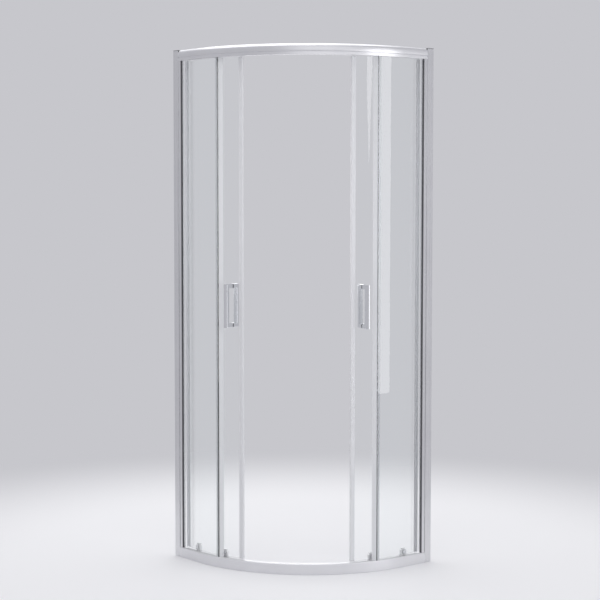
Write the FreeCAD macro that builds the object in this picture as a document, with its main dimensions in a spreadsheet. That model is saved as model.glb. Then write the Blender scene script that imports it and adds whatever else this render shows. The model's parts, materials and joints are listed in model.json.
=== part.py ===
"""Quadrant shower enclosure: two curved sliding doors in a bent aluminium frame.

Frame of the model: millimetres, +Z up, origin at the middle of the square that the enclosure
fills, on the floor.  One wall is the plane x = -overall_size/2, the other y = +overall_size/2,
and the curved front faces +X and -Y.  The enclosure is symmetric about the plane x = -y, so the
left half is drawn and the right half is its mirror image.

Words used below: "inset" is the distance inwards from the outer face of the rails; "station" is
the upright line on the glass of a door where a fitting sits, with X pointing outwards, Y along
the glass towards the closing edge and Z up.
"""
import FreeCAD, Part
import math
import os
import re

import Sketcher
from FreeCAD import Placement, Rotation, Vector

SIZES = {
    # the whole enclosure
    "overall_size": 700.0,
    "overall_height": 1950.0,
    "corner_radius": 550.0,
    # the two bent rails
    "rail_depth": 36.0,
    "rail_wall": 1.8,
    "rear_lip": 4.2,
    "top_rail_height": 41.0,
    "bottom_rail_height": 39.0,
    "crown_radius": 14.0,
    "crown_wall": 2.9,
    "face_radius": 50.0,
    "face_step": 1.2,
    "face_lip_height": 10.5,
    "face_groove": 0.9,
    "face_groove_height": 1.5,
    "face_groove_slope": 0.8,
    "edge_round": 2.0,
    # the slots that hold the fixed glass
    "slot_depth": 9.0,
    "slot_clearance": 2.0,
    "slot_wall": 1.4,
    "glass_entry": 7.0,
    # the beads that the wheels run on
    "track_inset": 18.2,
    "bead_width": 1.8,
    "bead_height": 3.0,
    "bead_round": 1.4,
    "track_overhang": 2.4,
    # glass
    "glass_thickness": 5.0,
    "fixed_glass_inset": 7.5,
    "edge_overlap": 2.17,
    "door_glass_inset": 26.0,
    "door_width": 307.0,
    "door_top_gap": 3.2,
    "door_bottom_gap": 2.0,
    "door_open_margin": 50.26,
    "meeting_gap": 0.4,
    # wall profile, its cap and the jamb that slides in it
    "wall_profile_depth": 30.0,
    "wall_profile_width": 22.0,
    "wall_profile_wall": 1.6,
    "wall_hole_radius": 2.75,
    "wall_hole_end": 150.0,
    "cap_thickness": 2.0,
    "cap_plug": 6.0,
    "plug_gap": 0.3,
    "jamb_gap": 0.4,
    "jamb_overlap": 18.0,
    "jamb_reach": 45.0,
    "jamb_wall": 1.5,
    "jamb_web": 5.0,
    "jamb_screw_radius": 1.9,
    "jamb_screw_head": 4.0,
    "jamb_screw_head_height": 2.2,
    "jamb_screw_length": 9.0,
    "jamb_screw_end": 200.0,
    "gasket_base": 1.8,
    "gasket_flange": 3.5,
    "gasket_nose": 1.2,
    "edge_gap": 0.2,
    # blocks, screws and stops
    "block_length": 14.0,
    "block_gap": 0.3,
    "block_set_back": 14.0,
    "corner_screw_radius": 2.0,
    "corner_screw_head": 3.8,
    "corner_screw_head_height": 1.2,
    "corner_screw_length": 12.0,
    "screw_gap": 0.1,
    "stop_length": 14.0,
    "stop_height": 19.0,
    "stop_bead_gap": 0.8,
    "buffer_thickness": 2.0,
    "setting_block_length": 20.0,
    "setting_block_height": 6.0,
    "setting_block_wall_gap": 60.0,
    "setting_block_bend_gap": 30.0,
    "cover_thickness": 1.2,
    "cover_gap": 0.15,
    "cover_end_gap": 4.0,
    # seals clipped to the upright edges of the glass
    "seal_wall": 1.2,
    "seal_clip": 9.0,
    "seal_fit": 0.1,
    "seal_end_gap": 1.5,
    "edge_fin_reach": 16.0,
    "edge_fin_depth": 12.5,
    "fin_thickness": 1.0,
    "trail_fin_depth": 11.8,
    "trail_fin_lean": 3.0,
    "magnet_head": 8.0,
    "magnet_width": 12.0,
    "magnet_bevel": 2.0,
    # wheels and the parts that carry them
    "front_hole_distance": 82.0,
    "roller_pitch": 150.0,
    "wheel_radius": 12.5,
    "groove_radius": 10.0,
    "wheel_width": 6.6,
    "cheek_width": 1.2,
    "wheel_gap": 0.3,
    "groove_slope": 0.3,
    "axle_radius": 3.0,
    "axle_gap": 0.05,
    "rivet_radius": 4.8,
    "rivet_thickness": 1.2,
    "rivet_gap": 0.3,
    "seat_gap": 0.02,
    "top_hole_radius": 6.0,
    "hole_gap": 0.2,
    "flange_radius": 8.5,
    "flange_thickness": 1.4,
    "eccentricity": 1.5,
    "spigot_radius": 4.0,
    "spigot_length": 5.0,
    "cap_radius": 10.0,
    "cap_rim": 2.4,
    "cap_height": 6.0,
    "cap_face_radius": 6.5,
    "bottom_hole_radius": 5.0,
    "bottom_hole_height": 13.0,
    "housing_width": 26.0,
    "housing_depth": 12.0,
    "housing_bottom": 34.0,
    "housing_top": 58.0,
    "housing_round": 3.0,
    "shaft_width": 13.8,
    "shaft_depth": 6.4,
    "shaft_gap": 0.3,
    "shaft_wall": 2.5,
    "release_travel": 4.0,
    "button_width": 18.0,
    "button_depth": 9.6,
    "button_height": 3.8,
    "button_round": 1.5,
    "foot_height": 15.7,
    "foot_width": 17.0,
    "foot_gap": 0.6,
    "cap_screw_radius": 2.0,
    "cap_screw_length": 4.0,
    "cap_disc_radius": 8.0,
    "cap_disc_rim": 1.0,
    "cap_disc_height": 1.9,
    # the pull handles
    "handle_setback": 52.0,
    "handle_height": 990.0,
    "handle_spacing": 146.0,
    "handle_width": 16.0,
    "handle_standoff": 32.5,
    "handle_round": 1.5,
    "handle_open_gap": 40.0,
    "handle_hole_radius": 5.0,
    "washer_radius": 8.0,
    "washer_thickness": 1.0,
    "stud_radius": 3.0,
    "stud_depth": 10.0,
}


def layout(size):
    """Angles (degrees) and places that follow from the driving sizes.

    A door is drawn closed, bent about the centre of the corner arc.  It stands open in the
    model, as far as both its trailing edge stays the open margin from the wall and its handle
    the open gap from the fixed pane, measured along the glass.  Its front and rear rollers lie
    on the line of the track in both places, and the one turn that takes both rollers from
    closed to open is about the pole found here.
    """
    radius = size["corner_radius"]
    straight = size["overall_size"] - radius
    half = size["overall_size"] / 2
    centre = Vector(half - radius, radius - half, 0)
    door_radius = radius - size["door_glass_inset"]
    fixed_radius = radius - size["fixed_glass_inset"]

    def arc(length, at_radius=door_radius):
        return math.degrees(length / at_radius)

    def on_door(angle):
        turned = math.radians(angle)
        return centre + Vector(math.cos(turned), math.sin(turned), 0) * door_radius

    def on_track(distance):
        if distance > straight:
            return on_door(arc(distance - straight) - 90)
        return Vector(distance - half, size["door_glass_inset"] - half, 0)

    tip = -45 - arc(size["meeting_gap"])
    front = tip - arc(size["magnet_head"] + size["front_hole_distance"])
    rear = front - 2 * math.degrees(math.asin(size["roller_pitch"] / 2 / door_radius))

    trail = tip - arc(size["door_width"])

    front_closed = on_door(front)
    rear_closed = on_door(rear)
    fixed_edge = trail + arc(size["edge_overlap"], fixed_radius)
    handle_side = size["handle_setback"] + size["handle_width"] / 2
    rear_distance = max(
        size["door_open_margin"] + door_radius * math.radians(rear - trail),
        straight
        + door_radius * math.radians(fixed_edge + 90 + rear - tip)
        + size["handle_open_gap"]
        + handle_side,
    )
    rear_open = on_track(rear_distance)
    if rear_distance + size["roller_pitch"] > straight:
        spoke = rear_open - centre
        reach = spoke.Length
        along = (door_radius**2 - size["roller_pitch"] ** 2 + reach**2) / (2 * reach)
        aside = math.sqrt(door_radius**2 - along**2)
        front_open = centre + spoke * (along / reach) + Vector(-spoke.y, spoke.x, 0) * (aside / reach)
    else:
        front_open = on_track(rear_distance + size["roller_pitch"])
    closed_line = front_closed - rear_closed
    open_line = front_open - rear_open
    swing = math.degrees(
        math.atan2(closed_line.y, closed_line.x) - math.atan2(open_line.y, open_line.x)
    )
    middle = (front_open + front_closed) / 2
    chord = front_closed - front_open
    across = Vector(-chord.y, chord.x, 0)
    pole = middle + across * (0.5 / math.tan(math.radians(swing) / 2))
    door_origin = pole + Rotation(Vector(0, 0, 1), -swing).multVec(centre - pole)

    # the rear wheel stands square to the glass, so its rim reaches a little past its axle's line
    rear_axis = rear - swing
    wheel_centre_x = rear_open.x + (size["door_glass_inset"] - size["track_inset"]) * math.cos(
        math.radians(rear_axis)
    )
    rim_reach = size["wheel_radius"] * abs(math.sin(math.radians(rear_axis)))
    cheek_reach = size["wheel_width"] / 2 * abs(math.cos(math.radians(rear_axis)))

    face_chord = (
        size["top_rail_height"]
        - size["crown_radius"]
        - size["face_lip_height"]
        - size["face_groove_height"]
        - size["face_groove_slope"]
    )
    return {
        "straight": straight,
        "centre_x": centre.x,
        "centre_y": centre.y,
        "door_radius": door_radius,
        "fixed_edge": fixed_edge,
        "fixed_radius": fixed_radius,
        "glass_tip": tip - arc(size["magnet_head"]),
        "glass_trail": trail,
        "front_angle": front,
        "rear_angle": rear,
        "handle_angle": tip - arc(size["handle_setback"]),
        "swing": swing,
        "pole_x": pole.x,
        "pole_y": pole.y,
        "door_x": door_origin.x,
        "door_y": door_origin.y,
        "stop_end": wheel_centre_x - rim_reach - cheek_reach - size["wheel_gap"],
        "face_sag": size["face_radius"] - math.sqrt(size["face_radius"] ** 2 - face_chord**2 / 4),
        "bead_sag": size["bead_round"] - math.sqrt(size["bead_round"] ** 2 - size["bead_width"] ** 2 / 4),
        "wall_hole_spacing": size["overall_height"] / 2 - size["wall_hole_end"],
        "jamb_screw_spacing": size["overall_height"] / 2 - size["jamb_screw_end"],
        "top_rail_base": size["overall_height"] - size["top_rail_height"],
        "top_axle": size["overall_height"]
        - size["top_rail_height"]
        + size["slot_depth"]
        + size["rail_wall"]
        + size["bead_height"]
        + size["wheel_gap"]
        + size["groove_radius"],
        "bottom_axle": size["bottom_rail_height"]
        - size["rail_wall"]
        - size["bead_height"]
        - size["wheel_gap"]
        - size["groove_radius"],
    }


doc = FreeCAD.newDocument("quadrant_shower_enclosure")


def add_sheet(name, values):
    """A sheet with one named cell per value."""
    sheet = doc.addObject("Spreadsheet::Sheet", name)
    for row, (alias, number) in enumerate(values.items(), start=1):
        sheet.set(f"A{row}", alias)
        sheet.set(f"B{row}", repr(float(number)))
        sheet.setAlias(f"B{row}", alias)
    doc.recompute()
    return sheet


sizes = add_sheet("Sizes", SIZES)
PLACES = layout({alias: float(sizes.get(alias)) for alias in SIZES})
places = add_sheet("Places", PLACES)


# ---------------------------------------------------------------- drawing helpers


def bind(formula):
    """Point the plain names in a formula at their cells."""

    def cell(match):
        word = match.group(0)
        if word in SIZES:
            return "Sizes." + word
        return "Places." + word if word in PLACES else word

    return re.sub(r"[a-z]\w*", cell, str(formula))


def value(formula):
    """The number that a formula has now."""
    result = sizes.evalExpression(bind(formula))
    return float(getattr(result, "Value", result))


def polar(radius, angle, centre=("0", "0")):
    """Formulas of a point at an angle in degrees about a centre."""
    return (
        f"{centre[0]} + ({radius}) * cos(({angle}) * 1 deg)",
        f"{centre[1]} + ({radius}) * sin(({angle}) * 1 deg)",
    )


def arc(radius, turn):
    """An edge that bends: turn is +1 to the left and -1 to the right."""
    return {"radius": radius, "turn": turn}


def new_body(name):
    body = doc.addObject("PartDesign::Body", name)
    body.Label = name
    return body


def new_sketch(body, name, plane, lift="0", rise="0", turn=None):
    """An empty sketch on a plane of its own body, lifted along the plane's normal."""
    sketch = body.newObject("Sketcher::SketchObject", name)
    support = next(item for item in body.Origin.OriginFeatures if item.Role == plane)
    sketch.AttachmentSupport = [(support, "")]
    sketch.MapMode = "FlatFace"
    if turn is not None:
        sketch.AttachmentOffset = Placement(Vector(), Rotation(Vector(0, 1, 0), value(turn)))
        sketch.setExpression("AttachmentOffset.Rotation.Angle", bind(turn))
    sketch.setExpression("AttachmentOffset.Base.z", bind(lift))
    sketch.setExpression("AttachmentOffset.Base.y", bind(rise))
    return sketch


def fix_point(sketch, edge, end, point):
    """Hold one end of an edge at the place that two formulas give."""
    for axis, formula in zip(("DistanceX", "DistanceY"), point):
        index = sketch.addConstraint(Sketcher.Constraint(axis, -1, 1, edge, end, value(formula)))
        sketch.setExpression(f"Constraints[{index}]", bind(formula))


def draw(sketch, outline, closed=True):
    """Draw lines and arcs through points; an arc() stands between the two points it joins."""
    points = [item for item in outline if not isinstance(item, dict)]
    bends = {}
    for index, item in enumerate(outline):
        if isinstance(item, dict):
            bends[sum(not isinstance(before, dict) for before in outline[:index]) - 1] = item
    count = len(points) if closed else len(points) - 1
    first = sketch.GeometryCount
    ends = []
    for index in range(count):
        start = Vector(*(value(formula) for formula in points[index]))
        stop = Vector(*(value(formula) for formula in points[(index + 1) % len(points)]))
        if index not in bends:
            sketch.addGeometry(Part.LineSegment(start, stop), False)
            ends.append((1, 2))
            continue
        radius = value(bends[index]["radius"])
        turn = bends[index]["turn"]
        chord = stop - start
        rise = math.sqrt(max(radius**2 - chord.Length**2 / 4, 0))
        side = Vector(-chord.y, chord.x, 0).normalize() * rise * turn
        centre = (start + stop) / 2 + side
        begin, finish = (start, stop) if turn > 0 else (stop, start)
        circle = Part.Circle(centre, Vector(0, 0, 1), radius)
        angles = [math.atan2(place.y - centre.y, place.x - centre.x) for place in (begin, finish)]
        sketch.addGeometry(Part.ArcOfCircle(circle, *angles), False)
        ends.append((1, 2) if turn > 0 else (2, 1))
    for index in range(count):
        fix_point(sketch, first + index, ends[index][0], points[index])
        if closed or index + 1 < count:
            following = (index + 1) % count
            sketch.addConstraint(
                Sketcher.Constraint(
                    "Coincident", first + index, ends[index][1], first + following, ends[following][0]
                )
            )
    if not closed:
        fix_point(sketch, first + count - 1, ends[-1][1], points[-1])
    for index, bend in bends.items():
        radius = value(bend["radius"])
        number = sketch.addConstraint(Sketcher.Constraint("Radius", first + index, radius))
        sketch.setExpression(f"Constraints[{number}]", bind(bend["radius"]))
    return sketch


def rectangle(x_low, x_high, y_low, y_high):
    return [(x_low, y_low), (x_high, y_low), (x_high, y_high), (x_low, y_high)]


def draw_circle(sketch, x, y, radius):
    centre = Vector(value(x), value(y), 0)
    edge = sketch.addGeometry(Part.Circle(centre, Vector(0, 0, 1), value(radius)), False)
    fix_point(sketch, edge, 3, (x, y))
    number = sketch.addConstraint(Sketcher.Constraint("Radius", edge, value(radius)))
    sketch.setExpression(f"Constraints[{number}]", bind(radius))
    return sketch


def extrude(body, sketch, length, kind="Pad", back=False, both=False):
    """A Pad or a Pocket; back turns it round and both splits it to either side."""
    feature = body.newObject(f"PartDesign::{kind}", f"{sketch.Name}_{kind.lower()}")
    feature.Profile = sketch
    feature.Reversed = back
    feature.SideType = "Symmetric" if both else "One side"
    feature.setExpression("Length", bind(length))
    body.Tip = feature
    return feature


def revolve(body, sketch, axis="H_Axis", angle="360", both=False):
    feature = body.newObject("PartDesign::Revolution", sketch.Name + "_turned")
    feature.Profile = sketch
    feature.ReferenceAxis = (sketch, [axis])
    feature.Midplane = both
    feature.setExpression("Angle", bind(angle))
    body.Tip = feature
    return feature


def sweep(body, profile, path):
    feature = body.newObject("PartDesign::AdditivePipe", profile.Name + "_sweep")
    feature.Profile = profile
    feature.Spine = (path, [f"Edge{number + 1}" for number in range(path.GeometryCount)])
    body.Tip = feature
    return feature


def round_edges(body, radius, chosen):
    """Round the edges of the body so far that a test on their middle and direction picks."""
    doc.recompute()
    base = body.Tip
    names = []
    for number, edge in enumerate(base.Shape.Edges, start=1):
        if edge.Curve.TypeId != "Part::GeomLine":
            continue
        if chosen(edge.CenterOfMass, edge.tangentAt(edge.FirstParameter)):
            names.append(f"Edge{number}")
    feature = body.newObject("PartDesign::Fillet", body.Name + "_rounded")
    feature.Base = (base, names)
    feature.setExpression("Radius", bind(radius))
    body.Tip = feature
    return feature


def seat(item, x="0", y="0", z="0", turn="0"):
    """Place a piece by formulas; turn is about the upright axis, in degrees."""
    item.Placement = Placement(Vector(), Rotation(Vector(0, 0, 1), value(turn)))
    item.setExpression("Placement.Rotation.Angle", bind(turn))
    for axis, formula in zip("xyz", (x, y, z)):
        item.setExpression(f"Placement.Base.{axis}", bind(formula))
    return item


def seat_in_corner(item, z="0"):
    """X and Y then run from the outer corner where the left wall meets the front."""
    return seat(item, "-overall_size / 2", "-overall_size / 2", z)


def seat_at_station(item, angle, z="0"):
    """Seat a fitting of the left door at a closed-door angle, turned to where the door stands."""
    x, y = polar("door_radius", f"{angle} - swing", ("door_x", "door_y"))
    return seat(item, x, y, z, f"{angle} - swing")


def group(name, shapes):
    """Identical small pieces that share one node, each a solid of its own."""
    item = doc.addObject("Part::Feature", name)
    item.Label = name
    item.Shape = Part.makeCompound(shapes)
    item.Placement = Placement()
    return item


def mirrored(shape):
    """The right-hand twin of a left-hand shape."""
    return shape.mirror(Vector(0, 0, 0), Vector(1, 1, 0))


def copies(body, placements):
    """Copies of a body's shape, each moved from the body's own frame by a placement."""
    shapes = []
    for placement in placements:
        shape = body.Shape.copy()
        shape.Placement = placement
        shapes.append(shape)
    return shapes


nodes = []


def keep(item):
    nodes.append(item)
    return item


def keep_pair(body):
    """Keep a left-hand piece and its mirror image."""
    stem = body.Name
    body.Label = stem + "_left"
    twin = doc.addObject("Part::Mirroring", stem + "_twin")
    twin.Source = body
    twin.Base = Vector(0, 0, 0)
    twin.Normal = Vector(1, 1, 0)
    twin.Label = stem + "_right"
    nodes.extend((body, twin))
    return body


# ---------------------------------------------------------------- rails

FACE = "-overall_size / 2"
SLOT_OUT = "fixed_glass_inset - glass_thickness / 2 - slot_clearance"
SLOT_IN = "fixed_glass_inset + glass_thickness / 2 + slot_clearance"
SLOT_BACK = f"({SLOT_IN}) + slot_wall"
BEAD_OUT = "track_inset - bead_width / 2"
BEAD_IN = "track_inset + bead_width / 2"
TRACK_END = f"{BEAD_IN} + track_overhang"


def across_rail(points):
    """Turn (inset, height) pairs into points of a section drawn at the left end of a rail."""
    return [item if isinstance(item, dict) else (f"{FACE} + {item[0]}", item[1]) for item in points]


def bent_rail(name, section):
    """An extrusion bent along the front: straight, quarter arc, straight."""
    body = new_body(name)
    start = f"{FACE} + wall_profile_depth"
    profile = new_sketch(body, name + "_section", "YZ_Plane", lift=start)
    draw(profile, across_rail(section))
    path = new_sketch(body, name + "_path", "XY_Plane")
    bend = [
        (start, FACE),
        ("centre_x", FACE),
        arc("corner_radius", 1),
        ("overall_size / 2", "centre_y"),
        ("overall_size / 2", "overall_size / 2 - wall_profile_depth"),
    ]
    draw(path, bend, closed=False)
    sweep(body, profile, path)
    return body


def screw_holes(body, name, z, back=False):
    """Countersunk holes near both ends of a rail, for the screws into the end blocks."""
    near = f"{FACE} + wall_profile_depth + block_length / 2"
    inset = f"{FACE} + rail_depth * 0.66"
    twin = (f"-({inset})", f"-({near})")
    for part, radius, depth in (
        ("bore", "corner_screw_radius + screw_gap", "rail_wall * 2"),
        ("sink", "corner_screw_head + screw_gap", "corner_screw_head_height"),
    ):
        for side, (x, y) in (("left", (near, inset)), ("right", twin)):
            hole = new_sketch(body, f"{name}_{part}_{side}", "XY_Plane", lift=z)
            draw_circle(hole, x, y, radius)
            extrude(body, hole, depth, kind="Pocket", back=back)


def make_top_rail():
    """Crowned face over a plain lip, slot for the fixed glass below, track ledge inside."""
    web = "slot_depth"
    ledge = "slot_depth + rail_wall"
    face_low = "face_lip_height + face_groove_height + face_groove_slope"
    face_high = "top_rail_height - crown_radius"
    crown_end = "face_sag + crown_radius"
    under = "top_rail_height - rail_wall"
    inner = "crown_wall + face_sag"
    section = [
        ("face_step", "0"),
        (SLOT_OUT, "0"),
        (SLOT_OUT, web),
        (SLOT_IN, web),
        (SLOT_IN, "0"),
        (SLOT_BACK, "0"),
        (SLOT_BACK, web),
        (TRACK_END, web),
        (TRACK_END, ledge),
        (BEAD_IN, ledge),
        (BEAD_IN, f"{ledge} + bead_height - bead_sag"),
        arc("bead_round", 1),
        (BEAD_OUT, f"{ledge} + bead_height - bead_sag"),
        (BEAD_OUT, ledge),
        (inner, ledge),
        (inner, f"{face_high} + crown_wall - rail_wall"),
        arc("crown_radius - crown_wall", -1),
        (crown_end, under),
        ("rail_depth - rail_wall", under),
        ("rail_depth - rail_wall", "top_rail_height - rear_lip"),
        ("rail_depth", "top_rail_height - rear_lip"),
        ("rail_depth", "top_rail_height"),
        (crown_end, "top_rail_height"),
        arc("crown_radius", 1),
        ("face_sag", face_high),
        arc("face_radius", 1),
        ("face_sag", face_low),
        ("face_step + face_groove", "face_lip_height + face_groove_height"),
        ("face_step + face_groove", "face_lip_height"),
        ("face_step", "face_lip_height"),
    ]
    body = bent_rail("top_rail", section)
    screw_holes(body, "top_rail", "top_rail_height")
    seat(body, z="top_rail_base")
    return keep(body)


def make_bottom_rail():
    """Flat face, slot for the fixed glass in the deck, bead under the deck, open at the back."""
    deck = "bottom_rail_height"
    under = "bottom_rail_height - rail_wall"
    floor = "bottom_rail_height - slot_depth"
    section = [
        ("0", "0"),
        ("rail_depth", "0"),
        ("rail_depth", "rear_lip + rail_wall"),
        ("rail_depth - rail_wall", "rear_lip + rail_wall"),
        ("rail_depth - rail_wall", "rail_wall"),
        ("rail_wall", "rail_wall"),
        ("rail_wall", f"{floor} - slot_wall"),
        (SLOT_BACK, f"{floor} - slot_wall"),
        (SLOT_BACK, under),
        (BEAD_OUT, under),
        (BEAD_OUT, f"{under} - bead_height + bead_sag"),
        arc("bead_round", 1),
        (BEAD_IN, f"{under} - bead_height + bead_sag"),
        (BEAD_IN, under),
        (TRACK_END, under),
        (TRACK_END, deck),
        (SLOT_IN, deck),
        (SLOT_IN, floor),
        (SLOT_OUT, floor),
        (SLOT_OUT, deck),
        ("edge_round", deck),
        arc("edge_round", 1),
        ("0", f"{deck} - edge_round"),
    ]
    body = bent_rail("bottom_rail", section)
    screw_holes(body, "bottom_rail", "0", back=True)
    return keep(body)


def make_slot_cover(name, z, upright):
    """Snap-in strip that closes the empty slot between the two fixed panes."""
    body = new_body(name)
    sketch = new_sketch(body, name + "_section", "XZ_Plane")
    out = f"corner_radius - ({SLOT_OUT}) - cover_gap"
    inside = f"corner_radius - ({SLOT_IN}) + cover_gap"
    face = "0"
    sign = "" if upright else "-"
    skin = f"{sign}cover_thickness"
    leg = f"{sign}slot_depth"
    section = [
        (inside, face),
        (inside, leg),
        (f"{inside} + cover_thickness", leg),
        (f"{inside} + cover_thickness", skin),
        (f"{out} - cover_thickness", skin),
        (f"{out} - cover_thickness", leg),
        (out, leg),
        (out, face),
    ]
    draw(sketch, section)
    span = "-90 - 2 * fixed_edge - 2 * cover_end_gap / fixed_radius * 180 / pi"
    revolve(body, sketch, axis="V_Axis", angle=span, both=True)
    seat(body, "centre_x", "centre_y", z, "-45")
    return keep(body)


# ---------------------------------------------------------------- wall side


def make_wall_profile():
    """U-shaped extrusion screwed to the wall; the jamb slides in it to take up a crooked wall."""
    body = new_body("wall_profile")
    wall, depth, width = "wall_profile_wall", "wall_profile_depth", "wall_profile_width"
    plan = [
        ("0", "0"),
        (depth, "0"),
        (depth, wall),
        (wall, wall),
        (wall, f"{width} - {wall}"),
        (depth, f"{width} - {wall}"),
        (depth, width),
        ("0", width),
    ]
    section = draw(new_sketch(body, "wall_profile_plan", "XY_Plane"), plan)
    extrude(body, section, "overall_height - cap_thickness")
    holes = new_sketch(body, "wall_profile_wall_holes", "YZ_Plane")
    side = new_sketch(body, "wall_profile_side_holes", "XZ_Plane", lift=f"-{width}")
    for number in range(3):
        height = f"wall_hole_end + {number} * wall_hole_spacing"
        draw_circle(holes, f"{width} / 2", height, "wall_hole_radius")
        height = f"jamb_screw_end + {number} * jamb_screw_spacing"
        draw_circle(side, "wall_profile_depth - jamb_overlap / 2", height, "jamb_screw_radius + screw_gap")
    extrude(body, holes, f"{wall} * 2", kind="Pocket", back=True)
    extrude(body, side, f"{wall} * 2", kind="Pocket", back=True)
    seat_in_corner(body)
    return keep_pair(body)


def make_wall_profile_cap():
    """Push-in cap on the top of a wall profile."""
    body = new_body("wall_profile_cap")
    top = new_sketch(body, "wall_profile_cap_top", "XY_Plane")
    edge = "wall_profile_wall + plug_gap"
    draw(top, rectangle("0", "wall_profile_depth", "0", "wall_profile_width"))
    extrude(body, top, "cap_thickness")
    plug = new_sketch(body, "wall_profile_cap_plug", "XY_Plane")
    far = f"wall_profile_width - {edge.replace('+', '-')}"
    draw(plug, rectangle(edge, "wall_profile_depth - wall_profile_wall", edge, far))
    extrude(body, plug, "cap_plug", back=True)
    seat_in_corner(body, "overall_height - cap_thickness")
    doc.recompute()
    return keep(group("wall_profile_caps", [body.Shape.copy(), mirrored(body.Shape)]))


JAMB_BACK = "(wall_profile_depth - jamb_overlap)"
JAMB_OUT = "(wall_profile_wall + jamb_gap)"
JAMB_IN = "(wall_profile_width - wall_profile_wall - jamb_gap)"


def make_side_jamb():
    """Hollow jamb with a screw port down its web, a slot for the glass and a box beside it."""
    body = new_body("side_jamb")
    end = "wall_profile_depth"
    plan = [
        (JAMB_BACK, JAMB_OUT),
        ("jamb_reach", JAMB_OUT),
        ("jamb_reach", SLOT_OUT),
        (end, SLOT_OUT),
        (end, SLOT_IN),
        ("jamb_reach", SLOT_IN),
        ("jamb_reach", JAMB_IN),
        (JAMB_BACK, JAMB_IN),
    ]
    sketch = draw(new_sketch(body, "side_jamb_plan", "XY_Plane"), plan)
    near = f"{JAMB_BACK} + jamb_wall"
    far = f"{end} - jamb_wall"
    middle = f"({JAMB_OUT} + {JAMB_IN}) / 2"
    for low, high in (
        (f"{JAMB_OUT} + jamb_wall", f"{middle} - jamb_web / 2"),
        (f"{middle} + jamb_web / 2", f"{JAMB_IN} - jamb_wall"),
    ):
        draw(sketch, rectangle(near, far, low, high))
    draw(sketch, rectangle(end, "jamb_reach - jamb_wall", SLOT_BACK, f"{JAMB_IN} - jamb_wall"))
    draw_circle(sketch, f"(({near}) + {far}) / 2", middle, "corner_screw_radius")
    height = "top_rail_base - bottom_rail_height"
    extrude(body, sketch, height)
    holes = new_sketch(body, "side_jamb_holes", "XZ_Plane", lift=f"-{JAMB_IN}")
    for number in range(3):
        up = f"jamb_screw_end + {number} * jamb_screw_spacing - bottom_rail_height"
        draw_circle(holes, "wall_profile_depth - jamb_overlap / 2", up, "jamb_screw_radius")
    extrude(body, holes, "jamb_screw_length", kind="Pocket", back=True)
    seat_in_corner(body, "bottom_rail_height")
    return keep_pair(body)


def make_glazing_gasket():
    """Soft U-shaped gasket round the wall-side edge of the fixed glass."""
    body = new_body("glazing_gasket")
    back = "wall_profile_depth + edge_gap"
    inside = f"{back} + gasket_base"
    nose = "jamb_reach + gasket_flange"
    glass_out = "fixed_glass_inset - glass_thickness / 2"
    glass_in = "fixed_glass_inset + glass_thickness / 2"
    plan = [
        (back, SLOT_OUT),
        ("jamb_reach", SLOT_OUT),
        ("jamb_reach", f"{JAMB_OUT} + edge_gap"),
        ("jamb_reach + gasket_nose", f"{JAMB_OUT} + edge_gap"),
        (nose, f"{glass_out} - edge_gap"),
        (nose, glass_out),
        (inside, glass_out),
        (inside, glass_in),
        (nose, glass_in),
        (nose, f"{glass_in} + edge_gap"),
        ("jamb_reach + gasket_nose", f"{SLOT_BACK} - edge_gap"),
        ("jamb_reach", f"{SLOT_BACK} - edge_gap"),
        ("jamb_reach", SLOT_IN),
        (back, SLOT_IN),
    ]
    sketch = draw(new_sketch(body, "glazing_gasket_plan", "XY_Plane"), plan)
    extrude(body, sketch, "top_rail_base - bottom_rail_height")
    seat_in_corner(body, "bottom_rail_height")
    return keep_pair(body)


def make_fixed_glass():
    """Toughened pane, flat from the jamb and then bent to the corner radius."""
    body = new_body("fixed_glass")
    start = "wall_profile_depth + edge_gap + gasket_base"
    out = "fixed_glass_inset - glass_thickness / 2"
    inside = "fixed_glass_inset + glass_thickness / 2"
    centre = ("straight", "corner_radius")
    plan = [
        (start, out),
        ("straight", out),
        arc(f"corner_radius - ({out})", 1),
        polar(f"corner_radius - ({out})", "fixed_edge", centre),
        polar(f"corner_radius - ({inside})", "fixed_edge", centre),
        arc(f"corner_radius - ({inside})", -1),
        ("straight", inside),
        (start, inside),
    ]
    sketch = draw(new_sketch(body, "fixed_glass_plan", "XY_Plane"), plan)
    extrude(body, sketch, "top_rail_base - bottom_rail_height + 2 * glass_entry")
    seat_in_corner(body, "bottom_rail_height - glass_entry")
    return keep_pair(body)


HALF_GLASS = "glass_thickness / 2"
CLIP_IN = f"({HALF_GLASS} + seal_fit)"
CLIP = f"({CLIP_IN} + seal_wall)"


def make_fixed_edge_seal():
    """Clip-on seal on the free edge of the fixed pane, with a fin towards the door."""
    body = new_body("fixed_edge_seal")
    plan = [
        (CLIP_IN, "0"),
        (CLIP_IN, "-seal_clip"),
        (CLIP, "-seal_clip"),
        (CLIP, "seal_wall"),
        ("-seal_wall", "2.5 * seal_wall"),
        ("fin_thickness - edge_fin_depth", "edge_fin_reach"),
        ("-edge_fin_depth", "edge_fin_reach - fin_thickness * 0.6"),
        (f"-{CLIP}", "2 * seal_wall"),
        (f"-{CLIP}", "-seal_clip"),
        (f"-{CLIP_IN}", "-seal_clip"),
        (f"-{CLIP_IN}", "0"),
    ]
    sketch = draw(new_sketch(body, "fixed_edge_seal_plan", "XY_Plane"), plan)
    extrude(body, sketch, "top_rail_base - bottom_rail_height - 2 * edge_gap")
    x, y = polar("fixed_radius", "fixed_edge", ("centre_x", "centre_y"))
    seat(body, x, y, "bottom_rail_height + edge_gap", "fixed_edge")
    return keep_pair(body)


TONGUE_START = "block_set_back"
BLOCK_SCREW = "wall_profile_depth + block_length / 2"
PORT_X = f"({JAMB_BACK} + wall_profile_depth) / 2"
PORT_Y = f"({JAMB_OUT} + {JAMB_IN}) / 2"
TONGUE_TOP = "top_rail_height - cap_thickness - cap_plug - block_gap - corner_screw_head_height"


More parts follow.
